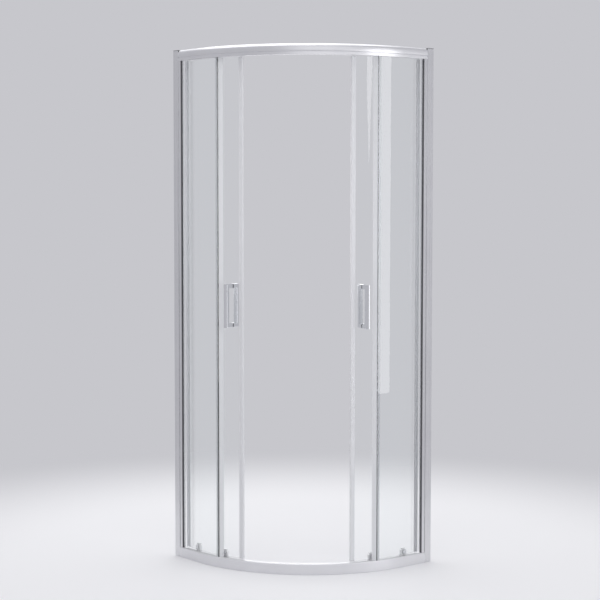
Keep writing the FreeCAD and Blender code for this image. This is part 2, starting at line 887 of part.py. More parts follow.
def make_end_block(name, z, base, top, inset, tongue_base, tongue_top):
    """Moulded corner block: one half fills the end of a rail, the tongue sits under the jamb."""
    body = new_body(name)
    end = "wall_profile_depth + block_length"
    rear = "rail_depth - rail_wall - block_gap"
    main = new_sketch(body, name + "_main", "XY_Plane", lift=base)
    draw(main, rectangle("wall_profile_depth", end, inset, rear))
    extrude(body, main, f"({top}) - ({base})")
    tongue = new_sketch(body, name + "_tongue", "XY_Plane", lift=tongue_base)
    low, high = f"{JAMB_OUT} + block_gap", f"{JAMB_IN} - block_gap"
    draw(tongue, rectangle(TONGUE_START, "wall_profile_depth", low, high))
    extrude(body, tongue, f"({tongue_top}) - ({tongue_base})")
    for part, x, y, level, deep, back in (
        ("rail_bore", BLOCK_SCREW, "rail_depth * 0.66", top if z != "0" else base,
         "corner_screw_length", z == "0"),
        ("jamb_bore", PORT_X, PORT_Y, tongue_top if z != "0" else tongue_base,
         f"({tongue_top}) - ({tongue_base})", z == "0"),
    ):
        sketch = new_sketch(body, f"{name}_{part}", "XY_Plane", lift=level)
        draw_circle(sketch, x, y, "corner_screw_radius")
        extrude(body, sketch, deep, kind="Pocket", back=back)
    seat_in_corner(body, z)
    return keep_pair(body)


def make_end_blocks():
    make_end_block(
        "top_end_block",
        "top_rail_base",
        "slot_depth + rail_wall + bead_height + block_gap",
        "top_rail_height - rail_wall",
        "crown_radius + face_sag + block_gap",
        "0",
        TONGUE_TOP,
    )
    make_end_block(
        "bottom_end_block",
        "0",
        "rail_wall",
        "bottom_rail_height - slot_depth - slot_wall - block_gap",
        "rail_wall + block_gap",
        "rail_wall",
        "bottom_rail_height",
    )


def make_screw(name, radius, head_radius, head_height, length, tapered):
    """A screw standing on its point, with the top of its head at z = 0."""
    body = new_body(name)
    sketch = new_sketch(body, name + "_section", "XZ_Plane")
    under = radius if tapered else head_radius
    section = [
        ("0", f"-({length})"),
        (f"{radius} / 2", f"-({length})"),
        (radius, f"-({length}) + {radius}"),
        (radius, f"-({head_height})"),
        (under, f"-({head_height})"),
        (head_radius, "0"),
        ("0", "0"),
    ]
    if tapered:
        del section[4]
    draw(sketch, section)
    revolve(body, sketch, axis="V_Axis")
    doc.recompute()
    return body


def in_corner(x, y, z, rotation=Rotation()):
    """A placement by formulas, measured from the outer left corner."""
    return Placement(Vector(value(f"{FACE} + {x}"), value(f"{FACE} + {y}"), value(z)), rotation)


def make_corner_screws():
    """Countersunk screws: rail to end block and end block to jamb, at all four corners."""
    screw = make_screw("corner_screw", "corner_screw_radius", "corner_screw_head",
                       "corner_screw_head_height", "corner_screw_length", True)
    long_screw = make_screw("jamb_end_screw", "corner_screw_radius", "corner_screw_radius * 1.6",
                            "corner_screw_head_height", "bottom_rail_height + corner_screw_length", False)
    upside_down = Rotation(Vector(1, 0, 0), 180)
    rail = copies(screw, [
        in_corner(BLOCK_SCREW, "rail_depth * 0.66", "overall_height"),
        in_corner(BLOCK_SCREW, "rail_depth * 0.66", "0", upside_down),
    ])
    jamb = copies(long_screw, [
        in_corner(PORT_X, PORT_Y, f"top_rail_base + {TONGUE_TOP} + corner_screw_head_height"),
        in_corner(PORT_X, PORT_Y, "rail_wall - corner_screw_head_height", upside_down),
    ])
    left = rail + jamb
    return keep(group("corner_screws", left + [mirrored(shape) for shape in left]))


def make_jamb_screws():
    """Pan-head screws that lock each jamb in its wall profile, driven from inside."""
    screw = make_screw("jamb_screw", "jamb_screw_radius", "jamb_screw_head",
                       "jamb_screw_head_height", "jamb_screw_length + jamb_screw_head_height", False)
    inwards = Rotation(Vector(1, 0, 0), -90)
    left = copies(screw, [
        in_corner("wall_profile_depth - jamb_overlap / 2", "wall_profile_width + jamb_screw_head_height",
                  f"jamb_screw_end + {number} * jamb_screw_spacing", inwards)
        for number in range(3)
    ])
    return keep(group("jamb_screws", left + [mirrored(shape) for shape in left]))


def make_setting_blocks():
    """Small U-shaped blocks that hold the edges of the fixed panes clear of the rails.

    Each pane has a straight one near the wall and a bent one past the start of the bend, both
    below and above.
    """
    glass_out = "fixed_glass_inset - glass_thickness / 2"
    glass_in = "fixed_glass_inset + glass_thickness / 2"
    base = "slot_depth - glass_entry"
    section = [
        (SLOT_OUT, "0"),
        (SLOT_IN, "0"),
        (SLOT_IN, "setting_block_height"),
        (glass_in, "setting_block_height"),
        (glass_in, base),
        (glass_out, base),
        (glass_out, "setting_block_height"),
        (SLOT_OUT, "setting_block_height"),
    ]
    block = new_body("setting_block")
    sketch = draw(new_sketch(block, "setting_block_section", "YZ_Plane"), section)
    extrude(block, sketch, "setting_block_length")
    bent = new_body("bent_setting_block")
    sketch = new_sketch(bent, "bent_setting_block_section", "XZ_Plane")
    draw(sketch, [(f"corner_radius - ({inset})", up) for inset, up in section])
    length = "setting_block_length / fixed_radius * 180 / pi"
    revolve(bent, sketch, axis="V_Axis", angle=length, both=True)
    doc.recompute()

    low, high = "bottom_rail_height - slot_depth", "top_rail_base + slot_depth"
    along = "setting_block_wall_gap"
    left = copies(block, [
        in_corner(along, "0", low),
        in_corner(f"{along} + setting_block_length", "0", high, Rotation(Vector(0, 1, 0), 180)),
    ])
    turned = Rotation(Vector(0, 0, 1), value("setting_block_bend_gap / fixed_radius * 180 / pi - 90"))
    flipped = turned.multiply(Rotation(Vector(1, 0, 0), 180))
    left += copies(bent, [
        in_corner("straight", "corner_radius", low, turned),
        in_corner("straight", "corner_radius", high, flipped),
    ])
    return keep(group("setting_blocks", left + [mirrored(shape) for shape in left]))


def make_open_stops():
    """Blocks on the top track, with rubber faces, that the rear wheels meet when a door is open."""
    ledge = "slot_depth + rail_wall"
    end = "stop_end"
    out = "track_inset - wheel_width / 2"
    shapes = {}
    for name, start, stop in (
        ("open_stop", f"{end} - buffer_thickness - stop_length", f"{end} - buffer_thickness"),
        ("stop_buffer", f"{end} - buffer_thickness", end),
    ):
        body = new_body(name)
        sketch = new_sketch(body, name + "_section", "YZ_Plane")
        section = [
            (out, "0"),
            (f"{BEAD_OUT} - stop_bead_gap", "0"),
            (f"{BEAD_OUT} - stop_bead_gap", "bead_height + block_gap"),
            (f"{BEAD_IN} + stop_bead_gap", "bead_height + block_gap"),
            (f"{BEAD_IN} + stop_bead_gap", "0"),
            (TRACK_END, "0"),
            (TRACK_END, "stop_height"),
            (out, "stop_height"),
        ]
        draw(sketch, section)
        extrude(body, sketch, f"({stop}) - ({start})")
        seat(body, start, FACE, f"top_rail_base + {ledge}")
        doc.recompute()
        shapes[name] = [body.Shape.copy(), mirrored(body.Shape)]
    keep(group("open_stops", shapes["open_stop"]))
    keep(group("stop_buffers", shapes["stop_buffer"]))


# ---------------------------------------------------------------- doors

AXLE_IN = "(door_glass_inset - track_inset - wheel_width / 2)"
AXLE_OUT = "(door_glass_inset - track_inset + wheel_width / 2)"
TOP_HOLE = "(top_axle - eccentricity)"
DOOR_BASE = "(bottom_rail_height + door_bottom_gap)"
DOOR_TOP = "(overall_height - rail_wall - door_top_gap)"
BOTTOM_HOLE = "(bottom_rail_height + bottom_hole_height)"


def hollow(reach):
    """How far a flat face of that half width stands off the hollow side of a door's glass."""
    radius = f"(door_radius - {HALF_GLASS})"
    return f"({radius} - sqrt({radius} ^ 2 - ({reach}) ^ 2) + seat_gap)"


WASHER_SEAT = {1: "0", -1: hollow("washer_radius")}


def make_door_glass():
    """Toughened pane bent to one radius, drilled for the rollers and the handle."""
    body = new_body("door_glass")
    out = f"door_radius + {HALF_GLASS}"
    inside = f"door_radius - {HALF_GLASS}"
    plan = [
        polar(inside, "glass_trail"),
        polar(out, "glass_trail"),
        arc(out, 1),
        polar(out, "glass_tip"),
        polar(inside, "glass_tip"),
        arc(inside, -1),
    ]
    sketch = draw(new_sketch(body, "door_glass_plan", "XY_Plane", lift=DOOR_BASE), plan)
    extrude(body, sketch, f"{DOOR_TOP} - {DOOR_BASE}")
    drilled = {
        "front_angle": ((TOP_HOLE, "top_hole_radius"), (BOTTOM_HOLE, "bottom_hole_radius")),
        "rear_angle": ((TOP_HOLE, "top_hole_radius"), (BOTTOM_HOLE, "bottom_hole_radius")),
        "handle_angle": (
            ("handle_height - handle_spacing / 2", "handle_hole_radius"),
            ("handle_height + handle_spacing / 2", "handle_hole_radius"),
        ),
    }
    for angle, holes in drilled.items():
        sketch = new_sketch(body, f"door_glass_{angle}", "YZ_Plane", turn=angle)
        for height, radius in holes:
            draw_circle(sketch, "0", height, radius)
        extrude(body, sketch, "corner_radius", kind="Pocket", back=True)
    seat(body, "door_x", "door_y", "0", "-swing")
    return keep_pair(body)


def make_magnet_seal():
    """Clip-on profile with a magnetic head along the closing edge."""
    body = new_body("magnet_seal")
    half = "magnet_width / 2"
    plan = [
        (CLIP_IN, "0"),
        (CLIP_IN, "-seal_clip"),
        (CLIP, "-seal_clip"),
        (CLIP, "0"),
        (half, "magnet_bevel"),
        (half, "magnet_head - magnet_bevel / 2"),
        (f"{half} - magnet_bevel / 2", "magnet_head"),
        (f"magnet_bevel / 2 - {half}", "magnet_head"),
        (f"-{half}", "magnet_head - magnet_bevel / 2"),
        (f"-{half}", "magnet_bevel"),
        (f"-{CLIP}", "0"),
        (f"-{CLIP}", "-seal_clip"),
        (f"-{CLIP_IN}", "-seal_clip"),
        (f"-{CLIP_IN}", "0"),
    ]
    sketch = draw(new_sketch(body, "magnet_seal_plan", "XY_Plane"), plan)
    extrude(body, sketch, "top_rail_base - bottom_rail_height - 2 * seal_end_gap")
    seat_at_station(body, "glass_tip", "bottom_rail_height + seal_end_gap")
    return keep_pair(body)


def make_trailing_seal():
    """Clip-on seal on the trailing edge, whose fin closes the gap to the fixed pane."""
    body = new_body("trailing_seal")
    plan = [
        (CLIP_IN, "0"),
        (CLIP_IN, "seal_clip"),
        (CLIP, "seal_clip"),
        (CLIP, "0"),
        ("trail_fin_depth", "trail_fin_lean"),
        ("trail_fin_depth", "trail_fin_lean - fin_thickness"),
        (CLIP, "-seal_wall"),
        (f"-{CLIP}", "-seal_wall"),
        (f"-{CLIP}", "seal_clip"),
        (f"-{CLIP_IN}", "seal_clip"),
        (f"-{CLIP_IN}", "0"),
    ]
    sketch = draw(new_sketch(body, "trailing_seal_plan", "XY_Plane"), plan)
    extrude(body, sketch, "top_rail_base - bottom_rail_height - 2 * seal_end_gap")
    seat_at_station(body, "glass_trail", "bottom_rail_height + seal_end_gap")
    return keep_pair(body)


def make_handle(name, side):
    """Square bar with mitred corners, drilled up both feet for the fixing studs."""
    body = new_body(name)
    foot = f"{side} * ({HALF_GLASS} + {WASHER_SEAT[side]} + washer_thickness)"
    outside = f"{side} * (handle_standoff + handle_width / 2)"
    inside = f"{side} * (handle_standoff - handle_width / 2)"
    end = "(handle_spacing + handle_width) / 2"
    gap = "(handle_spacing - handle_width) / 2"
    outline = new_sketch(body, name + "_outline", "XZ_Plane")
    draw(outline, [
        (foot, f"-{end}"),
        (outside, f"-{end}"),
        (outside, end),
        (foot, end),
        (foot, gap),
        (inside, gap),
        (inside, f"-{gap}"),
        (foot, f"-{gap}"),
    ])
    extrude(body, outline, "handle_width", both=True)
    clear = abs(value(foot)) + value("handle_round") / 2
    round_edges(body, "handle_round", lambda middle, along: abs(middle.x) > clear)
    bores = new_sketch(body, name + "_bores", "YZ_Plane", lift=foot)
    for height in ("-handle_spacing / 2", "handle_spacing / 2"):
        draw_circle(bores, "0", height, "stud_radius")
    extrude(body, bores, "stud_depth", kind="Pocket", back=side > 0)
    seat_at_station(body, "handle_angle", "handle_height")
    return keep_pair(body)


def at_station(angle, z, out="0", rotation=Rotation()):
    """A placement on the left door: out from the middle of the glass at a station."""
    x, y = polar(f"door_radius + {out}", f"{angle} - swing", ("door_x", "door_y"))
    turn = Rotation(Vector(0, 0, 1), value(f"{angle} - swing"))
    return Placement(Vector(value(x), value(y), value(z)), turn.multiply(rotation))


def turned_piece(name, section):
    """A piece turned about its own X axis."""
    body = new_body(name)
    revolve(body, draw(new_sketch(body, name + "_section", "XZ_Plane"), section))
    doc.recompute()
    return body


def keep_door_group(name, shapes):
    keep(group(name + "_left", shapes))
    keep(group(name + "_right", [mirrored(shape) for shape in shapes]))


def at_handle_holes(body, out="0", rotation=Rotation()):
    """Copies of a piece at the two handle holes of the left door."""
    return copies(body, [
        at_station("handle_angle", f"handle_height + {side} * handle_spacing / 2", out, rotation)
        for side in (-1, 1)
    ])


def make_handle_fixings():
    """Threaded studs that hold the outer and the inner handle together through the glass."""
    reach = f"{HALF_GLASS} + washer_thickness + stud_depth * 0.9"
    stud = turned_piece("handle_stud", [
        (f"-({reach})", "0"),
        (f"-({reach})", "stud_radius"),
        (reach, "stud_radius"),
        (reach, "0"),
    ])
    keep_door_group("handle_fixings", at_handle_holes(stud))


def make_handle_washers():
    """A washer under each foot of the handles and a bush that lines each hole in the glass."""
    washer = turned_piece("handle_washer", [
        ("0", "stud_radius + axle_gap"),
        ("0", "washer_radius"),
        ("washer_thickness", "washer_radius - washer_thickness / 2"),
        ("washer_thickness", "stud_radius + axle_gap"),
    ])
    bush = turned_piece("handle_bush", [
        (f"edge_gap - {HALF_GLASS}", "stud_radius + axle_gap"),
        (f"edge_gap - {HALF_GLASS}", "handle_hole_radius - hole_gap"),
        (f"{HALF_GLASS} - edge_gap", "handle_hole_radius - hole_gap"),
        (f"{HALF_GLASS} - edge_gap", "stud_radius + axle_gap"),
    ])
    half_turn = Rotation(Vector(0, 0, 1), 180)
    shapes = at_handle_holes(washer, HALF_GLASS)
    shapes += at_handle_holes(washer, f"-({HALF_GLASS} + {WASHER_SEAT[-1]})", half_turn)
    shapes += at_handle_holes(bush)
    keep_door_group("handle_washers", shapes)


def make_wheel(name, angle, z):
    """Grooved nylon wheel, recessed on its outer side for the riveted end of the axle."""
    body = new_body(name)
    bore = "axle_radius + axle_gap"
    recess = f"{AXLE_OUT} - rivet_thickness - rivet_gap * 2"
    section = [
        (AXLE_IN, bore),
        (AXLE_IN, "wheel_radius"),
        (f"{AXLE_IN} + cheek_width", "wheel_radius"),
        (f"{AXLE_IN} + cheek_width + groove_slope", "groove_radius"),
        (f"{AXLE_OUT} - cheek_width - groove_slope", "groove_radius"),
        (f"{AXLE_OUT} - cheek_width", "wheel_radius"),
        (AXLE_OUT, "wheel_radius"),
        (AXLE_OUT, "rivet_radius + rivet_gap * 2"),
        (recess, "rivet_radius + rivet_gap * 2"),
        (recess, bore),
    ]
    revolve(body, draw(new_sketch(body, name + "_section", "XZ_Plane"), section))
    seat_at_station(body, angle, z)
    return keep_pair(body)


def axle_section(start):
    """Axle with a riveted end that keeps the wheel on."""
    rivet = f"{AXLE_OUT} - rivet_thickness - rivet_gap"
    return [
        (start, "0"),
        (start, "axle_radius"),
        (rivet, "axle_radius"),
        (rivet, "rivet_radius"),
        (f"{AXLE_OUT} - rivet_gap * 2", "rivet_radius"),
        (f"{AXLE_OUT} - rivet_gap", "rivet_radius - rivet_gap"),
        (f"{AXLE_OUT} - rivet_gap", "0"),
    ]


def make_top_roller(name, angle):
    """Eccentric carrier: turning it in the glass hole raises or lowers the door."""
    body = new_body(name)
    face = f"{HALF_GLASS} + flange_thickness"
    spigot = f"-({HALF_GLASS} + spigot_length)"
    section = [
        (spigot, "0"),
        (spigot, "spigot_radius"),
        (f"-{HALF_GLASS}", "spigot_radius"),
        (f"-{HALF_GLASS}", "top_hole_radius - hole_gap"),
        (HALF_GLASS, "top_hole_radius - hole_gap"),
        (HALF_GLASS, "flange_radius"),
        (face, "flange_radius"),
        (face, "0"),
    ]
    revolve(body, draw(new_sketch(body, name + "_shank", "XZ_Plane"), section))
    axle = new_sketch(body, name + "_axle", "XZ_Plane", rise="eccentricity")
    revolve(body, draw(axle, axle_section(f"{face} - axle_gap")))
    seat_at_station(body, angle, TOP_HOLE)
    return keep_pair(body)


def make_roller_caps():
    """Domed nuts inside the top rollers and flat capped screws outside the bottom rollers."""
    seat_in = f"{HALF_GLASS} + {hollow('cap_radius')}"
    dome_top = f"{seat_in} + cap_height"
    thread_end = f"-({HALF_GLASS} + spigot_length)"
    dome = turned_piece("roller_dome", [
        (f"-({seat_in})", "spigot_radius"),
        (f"-({seat_in})", "cap_radius"),
        (f"-({seat_in} + cap_rim)", "cap_radius"),
        (f"-({dome_top})", "cap_face_radius"),
        (f"-({dome_top})", "0"),
        (thread_end, "0"),
        (thread_end, "spigot_radius"),
    ])
    disc = turned_piece("roller_cap_screw", [
        (f"{HALF_GLASS} - cap_screw_length", "0"),
        (f"{HALF_GLASS} - cap_screw_length", "cap_screw_radius"),
        (HALF_GLASS, "cap_screw_radius"),
        (HALF_GLASS, "cap_disc_radius"),
        (f"{HALF_GLASS} + cap_disc_rim", "cap_disc_radius"),
        (f"{HALF_GLASS} + cap_disc_height", "cap_disc_radius - cap_disc_rim"),
        (f"{HALF_GLASS} + cap_disc_height", "cap_screw_radius"),
        (f"{HALF_GLASS} + cap_disc_rim", "cap_screw_radius"),
        (f"{HALF_GLASS} + cap_disc_rim", "0"),
    ])
    shapes = []
    for angle in ("front_angle", "rear_angle"):
        shapes += copies(dome, [at_station(angle, TOP_HOLE)])
        shapes += copies(disc, [at_station(angle, BOTTOM_HOLE)])
    keep_door_group("roller_caps", shapes)


SHAFT_OUT = f"-({HALF_GLASS} + shaft_wall + shaft_gap)"
SHAFT_IN = f"{SHAFT_OUT} - shaft_depth"


def make_bottom_roller(name, angle):
    """Housing on the inside of the glass, with a shaft that the release slide runs in."""
    body = new_body(name)
    seat_in = hollow("housing_width / 2")
    face = f"-({HALF_GLASS} + {seat_in})"
    back = f"{face} - housing_depth"
    half = "housing_width / 2"
    block = new_sketch(body, name + "_block", "XY_Plane", lift="housing_bottom")
    draw(block, rectangle(back, face, f"-{half}", half))
    extrude(body, block, "housing_top - housing_bottom")
    round_edges(
        body,
        "housing_round",
        lambda middle, along: abs(along.z) > 0.9 and middle.x < value(back) + 1,
    )
    shaft = new_sketch(body, name + "_shaft", "XY_Plane", lift="housing_bottom")
    wide = "shaft_width / 2 + shaft_gap"
    draw(shaft, rectangle(f"{SHAFT_IN} - shaft_gap", f"{SHAFT_OUT} + shaft_gap", f"-({wide})", wide))
    extrude(body, shaft, "housing_top", kind="Pocket", back=True)
    boss = new_sketch(body, name + "_boss", "YZ_Plane", lift=face)
    draw_circle(boss, "0", BOTTOM_HOLE, "bottom_hole_radius - hole_gap")
    extrude(body, boss, f"glass_thickness + {seat_in} - edge_gap")
    bore = new_sketch(body, name + "_bore", "YZ_Plane", lift=HALF_GLASS)
    draw_circle(bore, "0", BOTTOM_HOLE, "cap_screw_radius")
    extrude(body, bore, "cap_screw_length + hole_gap", kind="Pocket")
    seat_at_station(body, angle)
    return keep_pair(body)


def make_release_slide(name, angle):
    """Button, shaft, foot and axle in one: pressing it down takes the wheel off its track."""
    body = new_body(name)
    wide = "shaft_width / 2"
    base = "housing_bottom - shaft_gap - foot_height"
    shaft = new_sketch(body, name + "_shaft", "XY_Plane", lift=base)
    draw(shaft, rectangle(SHAFT_IN, SHAFT_OUT, f"-{wide}", wide))
    extrude(body, shaft, f"housing_top + release_travel + shaft_gap - ({base})")
    foot = new_sketch(body, name + "_foot", "XY_Plane", lift=base)
    foot_out = f"{AXLE_IN} - foot_gap"
    draw(foot, rectangle(SHAFT_IN, foot_out, "-foot_width / 2", "foot_width / 2"))
    extrude(body, foot, "foot_height")
    button = new_sketch(body, name + "_button", "XY_Plane", lift="housing_top + release_travel + shaft_gap")
    middle = f"({SHAFT_IN} + {SHAFT_OUT}) / 2"
    draw(button, rectangle(f"{middle} - button_depth / 2", f"{middle} + button_depth / 2",
                           "-button_width / 2", "button_width / 2"))
    extrude(body, button, "button_height")
    top = value("housing_top + release_travel + shaft_gap + button_height")
    round_edges(body, "button_round", lambda middle, along: middle.z > top - 0.01)
    axle = new_sketch(body, name + "_axle", "XZ_Plane", rise="bottom_axle")
    revolve(body, draw(axle, axle_section(f"{foot_out} - axle_gap")))
    seat_at_station(body, angle)
    return keep_pair(body)


# ---------------------------------------------------------------- build

make_top_rail()
make_bottom_rail()
make_slot_cover("top_slot_cover", "top_rail_base", True)
make_slot_cover("bottom_slot_cover", "bottom_rail_height", False)
make_wall_profile()
make_wall_profile_cap()
make_side_jamb()
make_glazing_gasket()
make_fixed_glass()
make_fixed_edge_seal()
make_end_blocks()
make_corner_screws()
make_jamb_screws()
make_setting_blocks()
make_open_stops()

make_door_glass()
make_magnet_seal()
make_trailing_seal()
make_handle("handle_outer", 1)
make_handle("handle_inner", -1)
make_handle_fixings()
make_handle_washers()
for place in ("front", "rear"):
    make_top_roller(f"top_roller_{place}", f"{place}_angle")
    make_bottom_roller(f"bottom_roller_{place}", f"{place}_angle")
    make_release_slide(f"release_slide_{place}", f"{place}_angle")
    make_wheel(f"top_wheel_{place}", f"{place}_angle", "top_axle")
    make_wheel(f"bottom_wheel_{place}", f"{place}_angle", "bottom_axle")
make_roller_caps()

doc.recompute()

# ---------------------------------------------------------------- check and write

for item in doc.Objects:
    if "Invalid" in item.State or "Error" in item.State:
        raise RuntimeError(f"{item.Label} failed to compute")
    if item.isDerivedFrom("PartDesign::Pocket"):
        if item.Shape.Volume >= item.BaseFeature.Shape.Volume - 1e-3:
            raise RuntimeError(f"{item.Label} cuts nothing")

for item in nodes:
    if item.Shape.isNull() or not item.Shape.isValid() or not item.Shape.Solids:
        raise RuntimeError(f"{item.Label} has no valid solid")

os.makedirs("parts", exist_ok=True)
for item in nodes:
    item.Shape.exportStep(f"parts/{item.Label}.step")

print(f"{len(nodes)} sub-parts written")
for alias in ("pole_x", "pole_y", "swing", "front_angle", "rear_angle", "top_axle", "bottom_axle"):
    print(alias, round(PLACES[alias], 4))
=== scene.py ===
"""Looks of the quadrant shower enclosure: glass, metal, seals, fittings and a plain studio.

Sizes are written in millimetres and become metres when a mesh is made.
The left half is described; the right half is its mirror image in the upright plane x = -y.
A "section" is the outline across an extrusion, in two numbers per corner.  For the rails these are
the inset from the outer face and the height; for the upright seals they are the distance outwards
from the middle of the glass and the distance along it towards the closing edge.
"""

import json
import logging
import math
from collections.abc import Mapping, Sequence
from dataclasses import dataclass
from enum import Enum
from typing import Any

import bmesh
import bpy
import numpy as np
from bpy.types import ID, Material, Mesh, Node, NodeSocket, NodeTree, Object
from mathutils import Matrix, Vector

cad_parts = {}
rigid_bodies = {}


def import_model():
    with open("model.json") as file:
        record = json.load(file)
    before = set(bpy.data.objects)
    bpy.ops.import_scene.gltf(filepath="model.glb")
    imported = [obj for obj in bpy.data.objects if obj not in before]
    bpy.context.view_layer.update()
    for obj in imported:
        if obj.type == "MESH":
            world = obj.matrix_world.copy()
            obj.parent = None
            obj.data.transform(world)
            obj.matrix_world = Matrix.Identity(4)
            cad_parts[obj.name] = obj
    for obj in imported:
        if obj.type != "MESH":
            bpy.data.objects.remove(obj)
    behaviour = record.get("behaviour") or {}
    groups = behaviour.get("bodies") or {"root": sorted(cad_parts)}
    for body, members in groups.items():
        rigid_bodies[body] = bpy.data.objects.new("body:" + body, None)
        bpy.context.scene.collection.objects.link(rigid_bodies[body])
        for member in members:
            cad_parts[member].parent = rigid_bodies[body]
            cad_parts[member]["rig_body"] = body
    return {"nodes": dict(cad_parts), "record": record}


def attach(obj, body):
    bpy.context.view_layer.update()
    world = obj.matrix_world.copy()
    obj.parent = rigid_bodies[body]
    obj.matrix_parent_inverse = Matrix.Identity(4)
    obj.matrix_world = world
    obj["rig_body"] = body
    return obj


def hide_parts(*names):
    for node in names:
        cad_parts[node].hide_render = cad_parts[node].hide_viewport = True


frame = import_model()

MM = 0.001
SHARP = 32.0  # degrees: edges that turn by more than this stay sharp
log = logging.getLogger("enclosure")


class Side(Enum):
    """Which half of the enclosure a piece belongs to."""

    LEFT = "left"
    RIGHT = "right"

    def place(self, points: np.ndarray) -> np.ndarray:
        """Points of the left half as they lie on this side.

        Args:
            points: An array of points, with X, Y and Z last.

        Returns:
            The points themselves, or their mirror images with x and y exchanged and negated.
        """
        if self is Side.LEFT:
            return points
        return np.stack([-points[..., 1], -points[..., 0], points[..., 2]], axis=-1)


class Run(Enum):
    """The way the die lines of an extrusion run."""

    ALONG_RAIL = "along the rail, across the second axis of its UV map"
    UPRIGHT = "straight up, across X and Y"


# ---------------------------------------------------------------- outlines


@dataclass(frozen=True)
class Bow:
    """An arc of a section, between the corner before it and the corner after it."""

    radius: float
    turn: int

    def between(self, start: np.ndarray, stop: np.ndarray, steps: int) -> np.ndarray:
        """Points inside the arc.

        The centre lies on the middle of the chord, moved square to it by sqrt(r^2 - (chord/2)^2);
        the points are the centre plus r times the cosine and sine of evenly spaced angles.

        Args:
            start: The corner before the arc.
            stop: The corner after it.
            steps: How many equal parts the arc has.

        Returns:
            The points between the two corners, in order.
        """
        chord = stop - start
        length = float(np.hypot(*chord))
        rise = math.sqrt(max(self.radius**2 - length**2 / 4, 0.0))
        across = np.array([-chord[1], chord[0]]) / length
        centre = (start + stop) / 2 + across * rise * self.turn
        first = math.atan2(start[1] - centre[1], start[0] - centre[0])
        last = math.atan2(stop[1] - centre[1], stop[0] - centre[0])
        sweep = ((last - first) * self.turn) % (2 * math.pi) * self.turn
        angles = first + sweep * np.linspace(0, 1, steps + 1)[1:-1]
        return centre + self.radius * np.stack([np.cos(angles), np.sin(angles)], axis=1)


Corners = Sequence["tuple[float, float] | Bow"]


def trace(corners: Corners, steps: int = 12) -> np.ndarray:
    """The closed outline through corners and bows.

    Args:
        corners: Corners in order, with a Bow wherever the next side is an arc.
        steps: How many equal parts each arc has.

    Returns:
        The points of the outline, one row each.
    """
    parts = []
    count = len(corners)
    for index, item in enumerate(corners):
        if isinstance(item, Bow):
            start = np.array(corners[index - 1], float)
            stop = np.array(corners[(index + 1) % count], float)
            parts.append(item.between(start, stop, steps))
        else:
            parts.append(np.array([item], float))
    return np.concatenate(parts)


def soften(outline: np.ndarray, radius: float, steps: int = 3) -> np.ndarray:
    """Round the sharp corners of a closed outline.

    A corner C becomes the parabola (1-t)^2 A + 2t(1-t) C + t^2 B, where A and B lie on its two
    sides, the radius away from C or 0.4 of the shorter side if that is less.  Corners that turn
    by under 20 degrees, such as those along an arc, stay as they are.

    Args:
        outline: The points of the outline.
        radius: How far from each corner the rounding starts.
        steps: How many equal parts each rounding has.

    Returns:
        The points of the rounded outline.
    """
    back = np.roll(outline, 1, axis=0) - outline
    ahead = np.roll(outline, -1, axis=0) - outline
    back_length = np.linalg.norm(back, axis=1, keepdims=True)
    ahead_length = np.linalg.norm(ahead, axis=1, keepdims=True)
    back /= back_length
    ahead /= ahead_length
    turning = np.arccos(np.clip(-(back * ahead).sum(axis=1, keepdims=True), -1, 1))
    room = np.minimum(radius, 0.4 * np.minimum(back_length, ahead_length))
    reach = np.where(turning > math.radians(20), room, 0.0)
    t = np.linspace(0, 1, steps + 1)[None, :, None]
    near = (outline + back * reach)[:, None]
    far = (outline + ahead * reach)[:, None]
    points = ((1 - t) ** 2 * near + 2 * t * (1 - t) * outline[:, None] + t**2 * far).reshape(-1, 2)
    apart = np.linalg.norm(points - np.roll(points, 1, axis=0), axis=1)
    return points[apart > 1e-5]


# ---------------------------------------------------------------- surfaces


@dataclass(frozen=True)
class Course:
    """Stations that a section is carried through.

    places holds a point per station in millimetres, first and second the unit directions of the
    two axes of the section there, and distance the length of the way so far.
    """

    places: np.ndarray
    first: np.ndarray
    second: np.ndarray
    distance: np.ndarray


def upright_course(place: np.ndarray, outward: float, low: float, high: float) -> Course:
    """Two stations, one above the other, for a straight upright extrusion.

    Args:
        place: The point of the plan that the section is drawn about, in millimetres.
        outward: The direction of the section's first axis in plan, in degrees.
        low: The height of the lower end.
        high: The height of the upper end.

    Returns:
        The course.
    """
    turn = math.radians(outward)
    places = np.array([[place[0], place[1], low], [place[0], place[1], high]], float)
    first = np.tile([math.cos(turn), math.sin(turn), 0.0], (2, 1))
    second = np.tile([-math.sin(turn), math.cos(turn), 0.0], (2, 1))
    return Course(places, first, second, np.array([0.0, high - low]))


